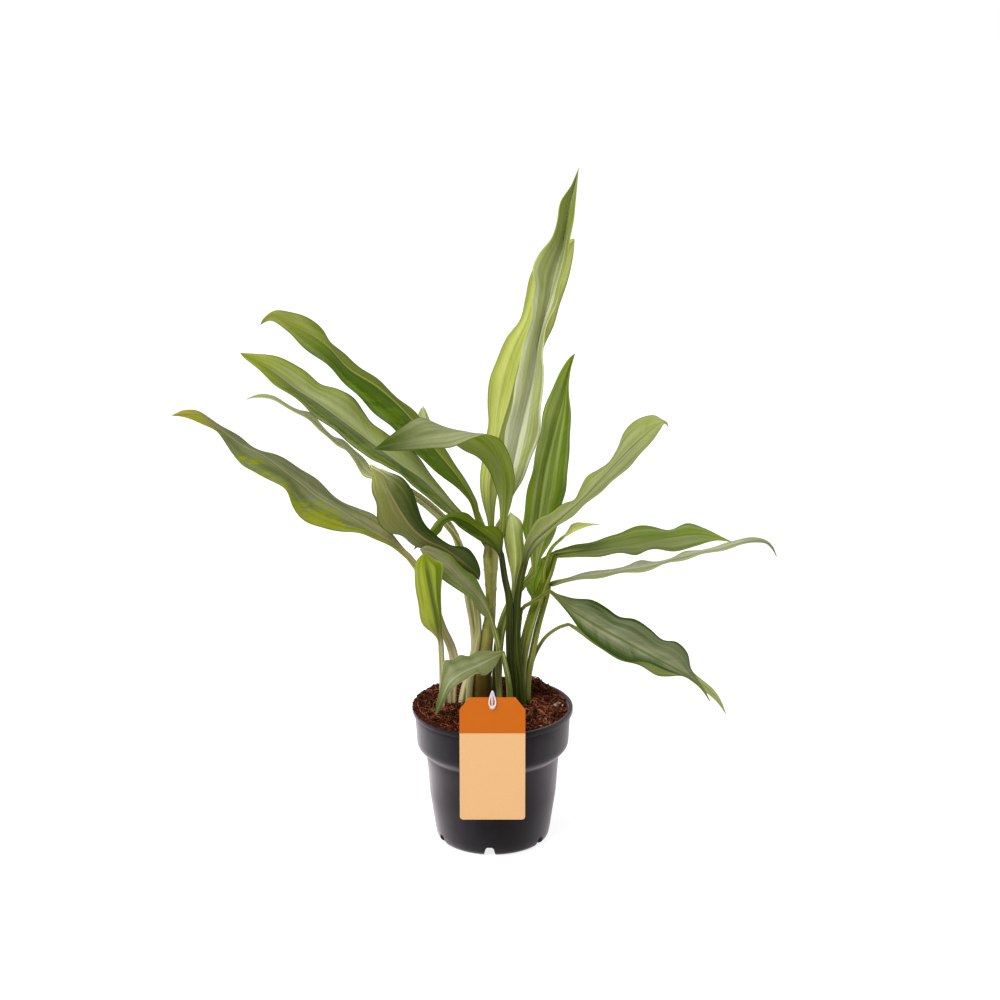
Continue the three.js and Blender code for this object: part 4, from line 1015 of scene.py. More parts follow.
SILVER = "leaf_silver_green"
DEEP = "leaf_deep_green"
YELLOW = "leaf_yellow_green"
LOOKS = {
    # Its wide pale rib is painted light laid over the shaded fold, and its left half is painted
    # paler to make up for the shade on it
    "leaf_tall_front": look(
        SILVER, (190, 198, 128), (220, 222, 192), (226, 230, 196), (150, 164, 80),
        (140, 150, 75), (180, 185, 130), band_amount=0.8, silver_amount=0.35,
        other=(156, 164, 100), tip=(110, 122, 44), tip_amount=1.0, tip_start=0.4,
        rib_width=5.0,
    ),
    "leaf_tall_back": look(
        YELLOW, (170, 178, 90), (206, 210, 134), (188, 194, 108), (158, 165, 80),
        (136, 148, 64), (178, 186, 118), band_amount=0.9, other=(158, 168, 62),
        margin=(112, 128, 32), tip=(150, 162, 58), tip_amount=0.7, tip_start=0.5,
    ),
    "leaf_arched_front": look(
        SILVER, (144, 149, 104), (166, 170, 132), (124, 134, 76), (120, 138, 16),
        (122, 138, 36), (160, 172, 84), band_amount=0.5, wave=0.5, other=(116, 124, 68),
        margin=(76, 90, 30), tip=(66, 80, 14), tip_amount=1.0, tip_start=0.58,
    ),
    "leaf_left_top": look(
        DEEP, (66, 88, 12), (104, 116, 62), (148, 156, 74), (95, 112, 56),
        (110, 124, 40), (150, 160, 80), silver_amount=0.2, patch_amount=0.4,
        patch=(98, 118, 24), other=(104, 114, 50), tip=(130, 134, 60), tip_amount=0.9,
        tip_start=0.65,
    ),
    "leaf_left_upper": look(
        SILVER, (74, 90, 38), (148, 152, 114), (150, 158, 108), (105, 119, 66),
        (100, 114, 46), (140, 150, 86), silver_amount=0.5, patch_amount=0.35,
        patch=(126, 140, 60), other=(132, 142, 78), margin=(66, 84, 34),
        tip=(132, 142, 50), tip_amount=0.95, tip_start=0.68,
    ),
    "leaf_back_top": look(
        YELLOW, (144, 164, 86), (175, 185, 130), (190, 200, 145), (168, 180, 118),
        (150, 165, 90), (185, 195, 130),
    ),
    "leaf_left_short": look(
        DEEP, (60, 76, 10), (84, 98, 34), (104, 120, 30), (54, 68, 12),
        (50, 54, 12), (76, 82, 30), silver_amount=0.25, patch_amount=0.3, patch=(110, 124, 28),
        wave=0.4, other=(104, 120, 34), girth=1.25, foot_amount=0.0,
        tip=(150, 172, 60), tip_amount=0.9, tip_start=0.6,
    ),
    "leaf_left_thin": look(
        SILVER, (184, 190, 122), (222, 224, 186), (198, 202, 146), (140, 150, 98),
        (190, 188, 122), (232, 226, 186), sheath=0.25, foot_amount=0.8, girth=1.4,
        tip=(122, 132, 74), tip_amount=0.8, tip_start=0.7,
    ),
    "leaf_left_front": look(
        SILVER, (54, 68, 10), (108, 108, 72), (136, 122, 88), (88, 102, 52),
        (138, 142, 68), (216, 212, 160), silver_amount=0.35, wave=0.7, other=(104, 108, 58),
        foot_amount=0.6, girth=1.35, tip=(60, 72, 12), tip_amount=0.9, tip_start=0.7,
    ),
    "leaf_left_long": look(
        SILVER, (98, 108, 56), (138, 141, 106), (150, 148, 112), (120, 132, 66),
        (148, 142, 72), (212, 204, 148), silver_amount=0.6, patch_amount=0.85, patch_side=1.0,
        patch=(132, 138, 30), other=(104, 110, 72), tip=(158, 148, 50), tip_amount=0.9,
        sheath=0.3, foot_amount=0.8, girth=1.2,
    ),
    "leaf_left_low": look(
        SILVER, (104, 120, 52), (158, 152, 124), (154, 152, 112), (110, 122, 70),
        (104, 112, 46), (168, 170, 104), silver_amount=0.6, tip=(146, 138, 108),
        tip_amount=0.7, tip_start=0.6, girth=1.3,
    ),
    "leaf_left_young": look(
        YELLOW, (132, 142, 30), (162, 168, 66), (62, 80, 22), (130, 144, 40),
        (146, 146, 74), (204, 198, 142), silver_amount=0.2, band_amount=0.5, wave=0.5,
        other=(92, 108, 30), foot_amount=0.35, rib_width=3.4, tip=(120, 132, 22),
        tip_amount=0.8, tip_start=0.7, margin=(160, 170, 60),
    ),
    "leaf_front_low": look(
        SILVER, (110, 118, 74), (146, 150, 116), (164, 168, 130), (120, 134, 84),
        (92, 104, 46), (156, 162, 96), silver_amount=0.6, wave=0.6, margin=(200, 202, 164),
        tip=(70, 84, 14), tip_amount=1.0, tip_start=0.5, girth=1.3, foot_amount=0.0,
    ),
    "leaf_right_upper": look(
        SILVER, (130, 138, 80), (160, 164, 124), (98, 106, 46), (120, 134, 66),
        (58, 66, 12), (92, 100, 34), silver_amount=0.35, patch_amount=0.35,
        patch=(126, 140, 58), other=(124, 130, 84), girth=1.35, foot_amount=0.0,
        tip=(150, 160, 88), tip_amount=0.7, tip_start=0.7,
    ),
    "leaf_right_spear": look(
        DEEP, (108, 130, 38), (146, 158, 94), (112, 132, 52), (110, 132, 54),
        (116, 132, 48), (168, 178, 98), band_amount=0.7, silver_amount=0.3,
        other=(92, 114, 24), margin=(72, 94, 20), tip=(128, 142, 40), tip_amount=0.7,
        girth=1.35,
    ),
    "leaf_right_level": look(
        DEEP, (112, 134, 46), (146, 156, 104), (118, 132, 62), (95, 116, 50),
        (100, 112, 34), (164, 172, 88), band_amount=0.6, silver_amount=0.25,
        other=(124, 136, 74), tip=(144, 160, 46), tip_amount=0.8, girth=1.4,
    ),
    "leaf_right_thin": look(
        SILVER, (158, 164, 112), (208, 210, 182), (170, 174, 128), (122, 134, 86),
        (116, 124, 44), (170, 174, 92), silver_amount=0.7, girth=1.3,
        tip=(112, 122, 78), tip_amount=0.9, tip_start=0.7,
    ),
    "leaf_right_low": look(
        DEEP, (56, 74, 20), (138, 140, 108), (84, 100, 46), (96, 112, 50),
        (90, 96, 34), (130, 134, 66), silver_amount=0.8, band_amount=0.5, other=(58, 76, 22),
        margin=(96, 118, 40), tip=(126, 134, 44), tip_amount=0.9, rib_width=1.4,
    ),
    "leaf_right_low_back": look(
        YELLOW, (146, 158, 72), (186, 192, 138), (180, 186, 124), (140, 154, 70),
        (104, 112, 46), (144, 150, 82),
    ),
    # This leaf's tones are painted paler than the leaf itself: painted light that makes up for the
    # shade of the leaves around it
    "leaf_right_inner": look(
        YELLOW, (184, 222, 70), (206, 228, 112), (206, 226, 116), (180, 210, 80),
        (136, 152, 52), (186, 194, 104), silver_amount=0.2, margin=(184, 222, 70),
    ),
    "leaf_right_small": look(
        YELLOW, (186, 192, 98), (204, 208, 130), (190, 196, 112), (176, 184, 90),
        (118, 132, 36), (170, 178, 86), silver_amount=0.2, wave=0.2,
    ),
    "sheath_young": look(
        YELLOW, (152, 164, 56), (200, 206, 132), (200, 208, 150), (160, 172, 96),
        (162, 172, 84), (214, 218, 162), band_amount=0.7, wave=0.2, other=(138, 156, 38),
        tip=(204, 212, 140), tip_amount=1.0, tip_start=0.6, breadth=1.35,
    ),
}


def plug(tree, value, socket):
    """Joins an output to a socket, or sets the socket to a plain value."""
    if isinstance(value, bpy.types.NodeSocket):
        tree.links.new(value, socket)
    else:
        socket.default_value = value


def reckon(tree, operation, first, second=0.0):
    """One sum of two values, each an output or a plain number."""
    node = tree.nodes.new("ShaderNodeMath")
    node.operation = operation
    plug(tree, first, node.inputs[0])
    plug(tree, second, node.inputs[1])
    return node.outputs[0]


def times(tree, first, second):
    return reckon(tree, "MULTIPLY", first, second)


def mixed(tree, share, first, second, blend="MIX"):
    """The first colour, with this share of the second."""
    node = tree.nodes.new("ShaderNodeMix")
    node.data_type = "RGBA"
    node.blend_type = blend
    plug(tree, share, node.inputs[0])
    plug(tree, first, node.inputs[6])
    plug(tree, second, node.inputs[7])
    return node.outputs[2]


def between(tree, value, low, high, start=0.0, end=1.0):
    """Eases from start to end while value goes from low to high."""
    node = tree.nodes.new("ShaderNodeMapRange")
    node.interpolation_type = "SMOOTHSTEP"
    plug(tree, value, node.inputs["Value"])
    names = ("From Min", "From Max", "To Min", "To Max")
    for name, number in zip(names, (low, high, start, end)):
        plug(tree, number, node.inputs[name])
    return node.outputs["Result"]


def grain(tree, vector, scale, detail=2.0, roughness=0.5):
    """Noise from 0 to 1, about 0.5."""
    node = tree.nodes.new("ShaderNodeTexNoise")
    plug(tree, vector, node.inputs["Vector"])
    plug(tree, scale, node.inputs["Scale"])
    node.inputs["Detail"].default_value = detail
    node.inputs["Roughness"].default_value = roughness
    return node.outputs["Fac"]


def joined(tree, x, y, z):
    node = tree.nodes.new("ShaderNodeCombineXYZ")
    for socket, value in zip(node.inputs, (x, y, z)):
        plug(tree, value, socket)
    return node.outputs[0]


def apart(tree, vector):
    node = tree.nodes.new("ShaderNodeSeparateXYZ")
    plug(tree, vector, node.inputs[0])
    return node.outputs


def shaded(tree, colour, shade):
    """The colour made darker or lighter by a shade."""
    return mixed(tree, 1.0, colour, joined(tree, shade, shade, shade), "MULTIPLY")


def read_attribute(tree, name):
    node = tree.nodes.new("ShaderNodeAttribute")
    node.attribute_name = name
    return node


def object_place(tree):
    return tree.nodes.new("ShaderNodeTexCoord").outputs["Object"]


def new_group(name, inputs, outputs):
    """A shader node group with its sockets, and its input and output nodes."""
    tree = bpy.data.node_groups.new(name, "ShaderNodeTree")
    for socket, kind, value in inputs:
        made = tree.interface.new_socket(socket, in_out="INPUT", socket_type=kind)
        made.default_value = value
    for socket, kind in outputs:
        tree.interface.new_socket(socket, in_out="OUTPUT", socket_type=kind)
    return tree, tree.nodes.new("NodeGroupInput").outputs, tree.nodes.new("NodeGroupOutput").inputs


def new_material(name, roughness=0.5, coat=0.0, specular=0.5):
    """A material with its node tree and its shader."""
    material = bpy.data.materials.new(name)
    material.use_nodes = True
    tree = material.node_tree
    shader = tree.nodes["Principled BSDF"]
    shader.inputs["Roughness"].default_value = roughness
    shader.inputs["Coat Weight"].default_value = coat
    shader.inputs["Specular IOR Level"].default_value = specular
    return material, tree, shader


def add_relief(tree, shader, height, distance, strength=1.0):
    """Gives a material fine relief, so many metres high."""
    bump = tree.nodes.new("ShaderNodeBump")
    bump.inputs["Strength"].default_value = strength
    bump.inputs["Distance"].default_value = distance
    plug(tree, height, bump.inputs["Height"])
    plug(tree, bump.outputs["Normal"], shader.inputs["Normal"])


def leaf_grain(tree, x, y, z, detail=2.0, roughness=0.5):
    """Noise that follows a leaf's own directions."""
    return grain(tree, joined(tree, x, y, z), 1.0, detail, roughness)


def leaf_face_group():
    """Halves, silver and satin bands, veins, patches, tip, rib and margin of one leaf, and its
    stalk. The silver and the satin bands are partly the leaf's own silvering and partly painted
    sheen; the half tones, the tip tone and the ripple shading carry painted light and shade.
    """
    tree, given, made = new_group(
        "Leaf face",
        [(name, COLOUR, GREY) for name in LEAF_COLOURS]
        + [(name, NUMBER, 0.0) for name in (*LEAF_NUMBERS, "Seed")],
        [("Color", COLOUR), ("Roughness", NUMBER), ("Height", NUMBER)],
    )
    out, walked, upper = apart(tree, read_attribute(tree, "blade").outputs["Vector"])
    across, share, on_stalk = apart(tree, read_attribute(tree, "share").outputs["Vector"])
    seed = given["Seed"]
    out = times(tree, out, 1000.0)
    walked = times(tree, walked, 1000.0)
    off = reckon(tree, "ABSOLUTE", out)
    edge = reckon(tree, "ABSOLUTE", across)
    vein = reckon(tree, "SUBTRACT", walked, times(tree, off, VEIN_SLOPE))
    seeds = [reckon(tree, "ADD", seed, apart_by) for apart_by in (5.0, 11.0, 23.0, 31.0)]

    fine = leaf_grain(tree, times(tree, vein, 0.85), times(tree, off, 0.05), seed, 2.0, 0.55)
    feather = leaf_grain(tree, times(tree, vein, 0.2), times(tree, off, 0.06), seed, 3.0, 0.6)
    feather = reckon(tree, "SUBTRACT", feather, 0.5)
    stripes = leaf_grain(tree, times(tree, across, 5.0), times(tree, walked, 0.02), seeds[0])
    bands = leaf_grain(tree, times(tree, across, 2.8), times(tree, walked, 0.007), seeds[1])
    clouds = leaf_grain(tree, times(tree, vein, 0.05), times(tree, out, 0.07), seeds[2], 3.0, 0.6)
    streaks = leaf_grain(tree, times(tree, across, 7.0), times(tree, walked, 0.014), seeds[3], 2.0)

    # The two half tones carry painted light and shade, each half's own lighting painted into its
    # colour
    face = mixed(tree, between(tree, out, -1.6, 1.6), given["Other"], given["Upper"])
    # The tip tone is partly the blade's own colour and partly painted light and shade where the
    # blade curls at its end
    tip = times(tree, between(tree, share, given["Tip Start"], 1.0), given["Tip Amount"])
    face = mixed(tree, tip, face, given["Tip"])
    ragged = reckon(tree, "ADD", edge, times(tree, feather, 0.5))
    # The silver near the rib and the satin bands are partly the leaf's own silvering and partly
    # painted sheen
    silver = times(tree, between(tree, ragged, 0.1, 0.85, 1.0, 0.0), given["Silver Amount"])
    silver = times(tree, silver, between(tree, clouds, 0.3, 0.6, 0.5, 1.0))
    band = times(tree, between(tree, bands, 0.45, 0.6), given["Band Amount"])
    silver = reckon(tree, "MAXIMUM", silver, band)
    silver = times(tree, silver, between(tree, tip, 0.0, 1.0, 1.0, 0.0))
    face = mixed(tree, silver, face, given["Silver"])
    mottle = reckon(tree, "ADD", clouds, times(tree, feather, 0.6))
    patch = reckon(tree, "ADD", mottle, times(tree, edge, 0.3))
    patch = times(tree, between(tree, patch, 0.68, 0.78), given["Patch Amount"])
    wrong_side = reckon(tree, "SUBTRACT", 1.0, reckon(tree, "ABSOLUTE", given["Patch Side"]))
    sided = between(tree, times(tree, across, given["Patch Side"]), -0.1, 0.1, wrong_side, 1.0)
    face = mixed(tree, times(tree, patch, sided), face, given["Patch"])

    under = mixed(tree, between(tree, bands, 0.42, 0.62, 0.0, 0.3), given["Under"], given["Silver"])
    face = mixed(tree, upper, under, face)
    face = shaded(tree, face, between(tree, fine, 0.3, 0.7, 0.95, 1.04))
    # Painted shade and light of the blade's lengthwise ripples; the same noise also gives the relief
    # below
    face = shaded(tree, face, between(tree, streaks, 0.35, 0.65, 0.86, 1.12))
    rib = between(tree, off, 0.25, given["Rib Width"], 0.75, 0.0)
    rib = times(tree, rib, between(tree, tip, 0.0, 0.8, 1.0, 0.2))
    face = mixed(tree, rib, face, given["Rib"])
    face = mixed(tree, between(tree, edge, 0.94, 0.99, 0.0, 0.6), face, given["Margin"])

    stalk = mixed(tree, between(tree, stripes, 0.46, 0.66), given["Stalk"], given["Stripe"])
    # Painted shade and light of the stalk's lengthwise ripples
    stalk = shaded(tree, stalk, between(tree, streaks, 0.35, 0.65, 0.86, 1.1))
    height = apart(tree, object_place(tree))[2]
    low = times(tree, between(tree, height, FOOT_LOW, FOOT_HIGH, 1.0, 0.0), given["Foot Amount"])
    face = mixed(tree, on_stalk, face, mixed(tree, low, stalk, given["Foot"]))
    plug(tree, face, made["Color"])
    rough = between(tree, fine, 0.3, 0.7, 0.5, 0.42)
    rough = reckon(tree, "ADD", rough, between(tree, upper, 0.0, 1.0, 0.1, 0.0))
    plug(tree, rough, made["Roughness"])
    relief = reckon(tree, "ADD", times(tree, fine, 0.5), times(tree, streaks, 0.8))
    plug(tree, relief, made["Height"])
    return tree


def leaf_material(leaf, face_group, settings):
    """The leaf's own colours, set on the shared leaf face."""
    material, tree, shader = new_material(leaf["name"] + "_finish", specular=0.1)
    node = tree.nodes.new("ShaderNodeGroup")
    node.node_tree = face_group
    colours = leaf | {"rib": leaf["rib_colour"], "stalk": leaf["stalk_colour"], "foot": FOOT_COLOUR}
    for name in LEAF_COLOURS:
        node.inputs[name].default_value = paint(*colours[name.lower()])
    for name in LEAF_NUMBERS:
        node.inputs[name].default_value = leaf[name.lower().replace(" ", "_")]
    node.inputs["Seed"].default_value = leaf["seed"]
    plug(tree, node.outputs["Color"], shader.inputs["Base Color"])
    plug(tree, node.outputs["Roughness"], shader.inputs["Roughness"])
    add_relief(tree, shader, node.outputs["Height"], settings.relief, 0.6)
    return material


def speckled_group():
    """Two colours in grains, as on soil, bark, card and moulded plastic. It is built once."""
    built = bpy.data.node_groups.get("Speckle")
    if built:
        return built
    tree, given, made = new_group(
        "Speckle",
        [
            ("First", COLOUR, GREY),
            ("Second", COLOUR, GREY),
            ("Grain", NUMBER, 300.0),
            ("Low", NUMBER, 0.4),
            ("High", NUMBER, 0.6),
            ("Stretch", NUMBER, 1.0),
        ],
        [("Color", COLOUR), ("Height", NUMBER), ("Mask", NUMBER)],
    )
    x, y, z = apart(tree, object_place(tree))
    spot = joined(tree, x, y, times(tree, z, given["Stretch"]))
    grains = grain(tree, spot, given["Grain"], 4.0, 0.6)
    mask = between(tree, grains, given["Low"], given["High"])
    plug(tree, mixed(tree, mask, given["First"], given["Second"]), made["Color"])
    plug(tree, grains, made["Height"])
    plug(tree, mask, made["Mask"])
    return tree


def speckled_material(
    name, first, second, scale, relief, rough, specular, spread=(0.4, 0.6), stretch=1.0
):
    """A finish of two paints in grains, with relief in metres and a roughness for each paint."""
    material, tree, shader = new_material(name, specular=specular)
    node = tree.nodes.new("ShaderNodeGroup")
    node.node_tree = speckled_group()
    low, high = spread
    for socket, value in (
        ("First", first),
        ("Second", second),
        ("Grain", scale),
        ("Low", low),
        ("High", high),
        ("Stretch", stretch),
    ):
        node.inputs[socket].default_value = value
    plug(tree, node.outputs["Color"], shader.inputs["Base Color"])
    plug(tree, between(tree, node.outputs["Mask"], 0.0, 1.0, *rough), shader.inputs["Roughness"])
    add_relief(tree, shader, node.outputs["Height"], relief)
    return material, tree, shader, node


def toned_material(name, first, second, dark, light, roughness):
    """A finish for many small bits, whose own tone attribute makes each darker or lighter."""
    material, tree, shader, node = speckled_material(
        name, first, second, 900.0, 0.0002, (roughness, roughness + 0.05), 0.1
    )
    tone = read_attribute(tree, "tone").outputs["Fac"]
    shade = between(tree, tone, 0.0, 1.0, dark, light)
    plug(tree, shaded(tree, node.outputs["Color"], shade), shader.inputs["Base Color"])
    return material


def pot_outside():
    """The pot's outline, from under its floor round the foot ring and up over the lip.

    The floor stands above the foot ring, so that the drain slots show the ground behind them.
    """
    lip_foot = POT_HEIGHT - LIP_HEIGHT
    step = COLLAR_RADIUS - BODY_RADIUS
    return [
        (0, BASE_RECESS),
        (FOOT_RADIUS + 3.4, BASE_RECESS),
        (FOOT_RADIUS + 2.6, 4.6),
        (FOOT_RADIUS - 2, 0),
        (FOOT_RADIUS, 0),
        (FOOT_RADIUS + 2.2, 0.5),
        (FOOT_RADIUS + 3.8, 1.4),
        (FOOT_RADIUS + 5, 2.6),
        (FOOT_RADIUS + 5.8, 4.2),
        (FOOT_RADIUS + 6.8, 9),
        (BODY_RADIUS - 2.5, TAPER_HEIGHT),
        (BODY_RADIUS - 0.4, SHOULDER_FOOT - 2),
        (BODY_RADIUS + 0.6, SHOULDER_FOOT),
        (COLLAR_RADIUS - 0.62 * step, SHOULDER_FOOT + 1.6),
        (COLLAR_RADIUS - 0.38 * step, SHOULDER_FOOT + 3.6),
        (COLLAR_RADIUS - 0.2 * step, SHOULDER_FOOT + 5.4),
        (COLLAR_RADIUS - 0.12 * step, SHOULDER_FOOT + 7),
        (COLLAR_RADIUS - 0.6, COLLAR_FOOT),
        (COLLAR_RADIUS + 0.4, lip_foot),
        (RIM_RADIUS - 0.6, lip_foot),
        (RIM_RADIUS - 0.15, lip_foot + 0.25),
        (RIM_RADIUS, lip_foot + 0.8),
        (RIM_RADIUS, POT_HEIGHT - 0.8),
        (RIM_RADIUS - 0.2, POT_HEIGHT - 0.25),
        (RIM_RADIUS - 0.7, POT_HEIGHT),
        (RIM_RADIUS - 2.6, POT_HEIGHT),
        (RIM_RADIUS - 3.1, POT_HEIGHT - 0.2),
        (RIM_RADIUS - 3.3, POT_HEIGHT - 0.8),
    ]


def pot_inside():
    """The outline of the pot's inside, from the collar down to the middle of its floor."""
    return [
        (COLLAR_RADIUS - WALL, COLLAR_FOOT),
        (COLLAR_RADIUS - 1.8 - WALL, SHOULDER_FOOT + 5),
        (BODY_RADIUS - WALL, SHOULDER_FOOT),
        (BODY_RADIUS - 2.5 - WALL, TAPER_HEIGHT),
        (FOOT_RADIUS + 7.4 - WALL, FLOOR),
        (0, FLOOR),
    ]


def turned(profile, sides):
    """Spins a half outline of radii and heights, in millimetres, about the upright axis."""
    bm = new_bmesh()
    corners = [bm.verts.new((radius * MM, 0, height * MM)) for radius, height in profile]
    edges = [bm.edges.new(pair) for pair in zip(corners, corners[1:])]
    bmesh.ops.spin(
        bm,
        geom=corners + edges,
        cent=(0, 0, 0),
        axis=(0, 0, 1),
        angle=2 * math.pi,
        steps=sides,
        use_merge=True,
    )
    close_and_face(bm, 1e-5)
    return bm


def slot_cutter():
    """All the drain slots round the pot's foot, as one mesh to cut with."""
    half = SLOT_TOP_WIDTH / 2
    foot = SLOT_BOTTOM_WIDTH / 2
    outline = [(-foot, -1), (foot, -1), (half, SLOT_HEIGHT - SLOT_CORNER)]
    outline += [(half - SLOT_CORNER, SLOT_HEIGHT), (SLOT_CORNER - half, SLOT_HEIGHT)]
    outline += [(-half, SLOT_HEIGHT - SLOT_CORNER)]
    corners = [Vector((x, -SLOT_START, z)) * MM for x, z in outline]
    bm = bmesh.new()
    for i in range(SLOT_COUNT):
        turn = Matrix.Rotation(math.radians(SLOT_TURN + i * 360 / SLOT_COUNT), 4, "Z")
        bar = push_outline(bm, corners, (0, SLOT_LENGTH * MM, 0))
        bmesh.ops.transform(bm, matrix=turn, verts=bar)
    bmesh.ops.recalc_face_normals(bm, faces=bm.faces[:])
    return bm


def cut_with(piece, cutter_bm):
    """Takes the cutter's shape out of the piece, and leaves no modifier or cutter behind."""
    mesh = bpy.data.meshes.new("cutter")
    cutter_bm.to_mesh(mesh)
    cutter_bm.free()
    cutter = bpy.data.objects.new("cutter", mesh)
    bpy.context.scene.collection.objects.link(cutter)
    step = piece.modifiers.new("cut", "BOOLEAN")
    step.operation = "DIFFERENCE"
    step.solver = "EXACT"
    step.object = cutter
    shown = piece.evaluated_get(bpy.context.evaluated_depsgraph_get())
    result = bpy.data.meshes.new_from_object(shown)
    piece.modifiers.clear()
    piece.data = result
    bpy.data.objects.remove(cutter)


def soil_top(x, y):
    """The height of the soil's top, in millimetres: low in front, heaped behind, with lumps."""
    away = min(math.hypot(x, y) / SOIL_RADIUS, 1)
    rise = SOIL_BACK_HEAP * max(y / SOIL_RADIUS, 0) * (1 - away**4)
    heap = SOIL_MOUND * (1 - away * away) + rise
    lumps = math.sin(0.61 * x + 1.3) * math.cos(0.53 * y - 0.4)
    lumps += 0.6 * math.sin(0.93 * y + 0.71 * x)
    return SOIL_EDGE_HEIGHT + heap + SOIL_ROUGHNESS * lumps * (1 - away**6)


def crumbed_top(x, y):
    """The soil's top with its crumbs, banked up against the rim at the left, and its small heap."""
    spot = Vector((x, y, 0))
    crumbs = noise.fractal(spot * 0.28, 1.0, 2.0, 4) * 1.5
    away = min(math.hypot(x, y) / RIM_RADIUS, 1)
    toward_bank = (y * 0.3 - x) / RIM_RADIUS
    from_heap = math.hypot(x - HEAP_X, y - HEAP_Y) / HEAP_RADIUS
    heap = HEAP_HEIGHT * math.exp(-from_heap * from_heap)
    return soil_top(x, y) + crumbs + heap + BANK * max(toward_bank, 0) * away**3


def soil_bmesh():
    """The soil as it fills the pot, with a crumbed top."""
    wall = [
        (max(radius - SOIL_WALL_GAP, 0), height + (SOIL_FLOOR_GAP if height == FLOOR else 0))
        for radius, height in reversed(pot_inside())
    ]
    edge = wall[-1][0] + (SOIL_EDGE_HEIGHT - COLLAR_FOOT) * SOIL_WALL_SLOPE
    top = [
        (edge * (1 - ring / SOIL_RINGS), SOIL_EDGE_HEIGHT + 1) for ring in range(SOIL_RINGS + 1)
    ]
    bm = turned(wall + [(edge, SOIL_EDGE_HEIGHT)] + top, SOIL_SIDES)
    for vertex in bm.verts:
        if vertex.co.z > (SOIL_EDGE_HEIGHT - 0.5) * MM:
            vertex.co.z = crumbed_top(vertex.co.x / MM, vertex.co.y / MM) * MM
    return bm


def tube_along(bm, points, radius, around=6, along=12, flatten=1.0):
    """Wraps a thin tube round a smooth line through points, tapering to both ends."""
    line = Line(points, 40)
    start = line.heading(0)
    side = start.orthogonal().normalized()
    frames = []
    for i in range(along + 1):
        share = i / along
        heading = line.heading(share)
        side = (side - heading * side.dot(heading)).normalized()
        frames.append((line.at(share), side.copy(), heading.cross(side).normalized(), share))

    def place(column, row):
        centre, across, up, share = frames[row]
        turn = 2 * math.pi * column / around
        thick = radius(share) if callable(radius) else radius
        lift = across * math.cos(turn) + up * math.sin(turn) * flatten
        return (centre + lift * thick) * MM

    return wrap(bm, around, along, place)


def cane_bmesh():
    """The cane, with the raised scars of old stalks round it."""
    route = Line([stalk_point(p) for p in CANE_LINE])
    around = 48
    along = 140
    bm = new_bmesh()

    def place(column, row):
        share = row / along
        centre = route.place(share)
        turn = 2 * math.pi * column / around
        step = Vector((math.cos(turn), math.sin(turn), 0))
        node = share * CANE_SCARS + 0.12 * math.sin(turn + share * 20)
        scar = math.exp(-(((node % 1) - 0.5) ** 2) / 0.004) * SCAR_HEIGHT
        ridges = noise.fractal(step * 2.2 + Vector((0, 0, share * 3)), 1.0, 2.0, 3) * 0.35
        return (centre + step * (level(CANE_RADII, share) + scar + ridges)) * MM

    wrap(bm, around, along, place)
    close_and_face(bm)
    return bm


def toned_bmesh():
    """An empty bmesh for small bits that each have a tone."""
    bm = new_bmesh()
    bm.verts.layers.float.new("tone")
    return bm


def anywhere(draw, radius):
    """A place anywhere on a disc round the pot's middle."""
    away = math.sqrt(draw.random()) * radius
    turn = draw.uniform(0, 2 * math.pi)
    return away * math.cos(turn), away * math.sin(turn)


def litter_strands(bm, count, seed):
    """Coir strands that lie bent on the soil."""
    tone = bm.verts.layers.float["tone"]
    draw = random.Random(seed)
    for _ in range(count):
        x, y = anywhere(draw, SOIL_RADIUS)
        heading = draw.uniform(0, 2 * math.pi)
        length = draw.uniform(5, 19)
        bend = draw.uniform(-2.2, 2.2)
        height = draw.uniform(0.2, 1.2) * (3.0 if draw.random() > 0.85 else 1.2)
        points = []
        for k in range(5):
            turned_by = heading + bend * k / 4
            x += math.cos(turned_by) * length / 5
            y += math.sin(turned_by) * length / 5
            inside = min(1.0, SOIL_RADIUS / max(math.hypot(x, y), 1e-6))
            lift = math.sin(math.pi * k / 4) * height * draw.uniform(0.6, 1.3)
            points.append(Vector((x * inside, y * inside, 0)))
            points[-1].z = crumbed_top(points[-1].x, points[-1].y) + 0.15 + lift
        shade = draw.random()
        thickness = draw.uniform(0.12, 0.36)
        for vertex in tube_along(bm, points, thickness, 4, 7):
            vertex[tone] = shade


def spread_wide(draw):
    """A place anywhere on the soil, and the height of its ground."""
    x, y = anywhere(draw, CRUMB_RADIUS)
    return x, y, crumbed_top(x, y)


def spill_on_rim(draw):
    """A place on the pot's rim at the left, where the soil spills over it."""
    away = RIM_RADIUS - draw.uniform(0.5, 4.6)
    turn = draw.uniform(2.2, 4.25)
    return away * math.cos(turn), away * math.sin(turn), POT_HEIGHT - 0.1


def chip_places(draw):
    """A place in one of the two spots at the right where pale chips lie."""
    x, y = draw.choice(CHIP_SPOTS)
    x += draw.uniform(-5, 4)
    y += draw.uniform(-6, 6)
    return x, y, crumbed_top(x, y)


def litter_tuft(bm, count, seed):
    """Coir strands that stand up in arches over the heap behind."""
    tone = bm.verts.layers.float["tone"]
    draw = random.Random(seed)
    for _ in range(count):
        start = Vector((HEAP_X + draw.uniform(-8, 4), HEAP_Y + draw.uniform(-5, 3), 0))
        start.z = crumbed_top(start.x, start.y) - 0.3
        reach = Vector((draw.uniform(-5, 4), draw.uniform(-4, 1), 0))
        peak = start + reach / 2 + Vector((0, 0, draw.uniform(1.2, 4.2)))
        end = start + reach + Vector((0, 0, draw.uniform(-0.5, 2.2)))
        shade = draw.random()
        for vertex in tube_along(bm, [start, peak, end], draw.uniform(0.3, 0.6), 4, 9):
            vertex[tone] = shade


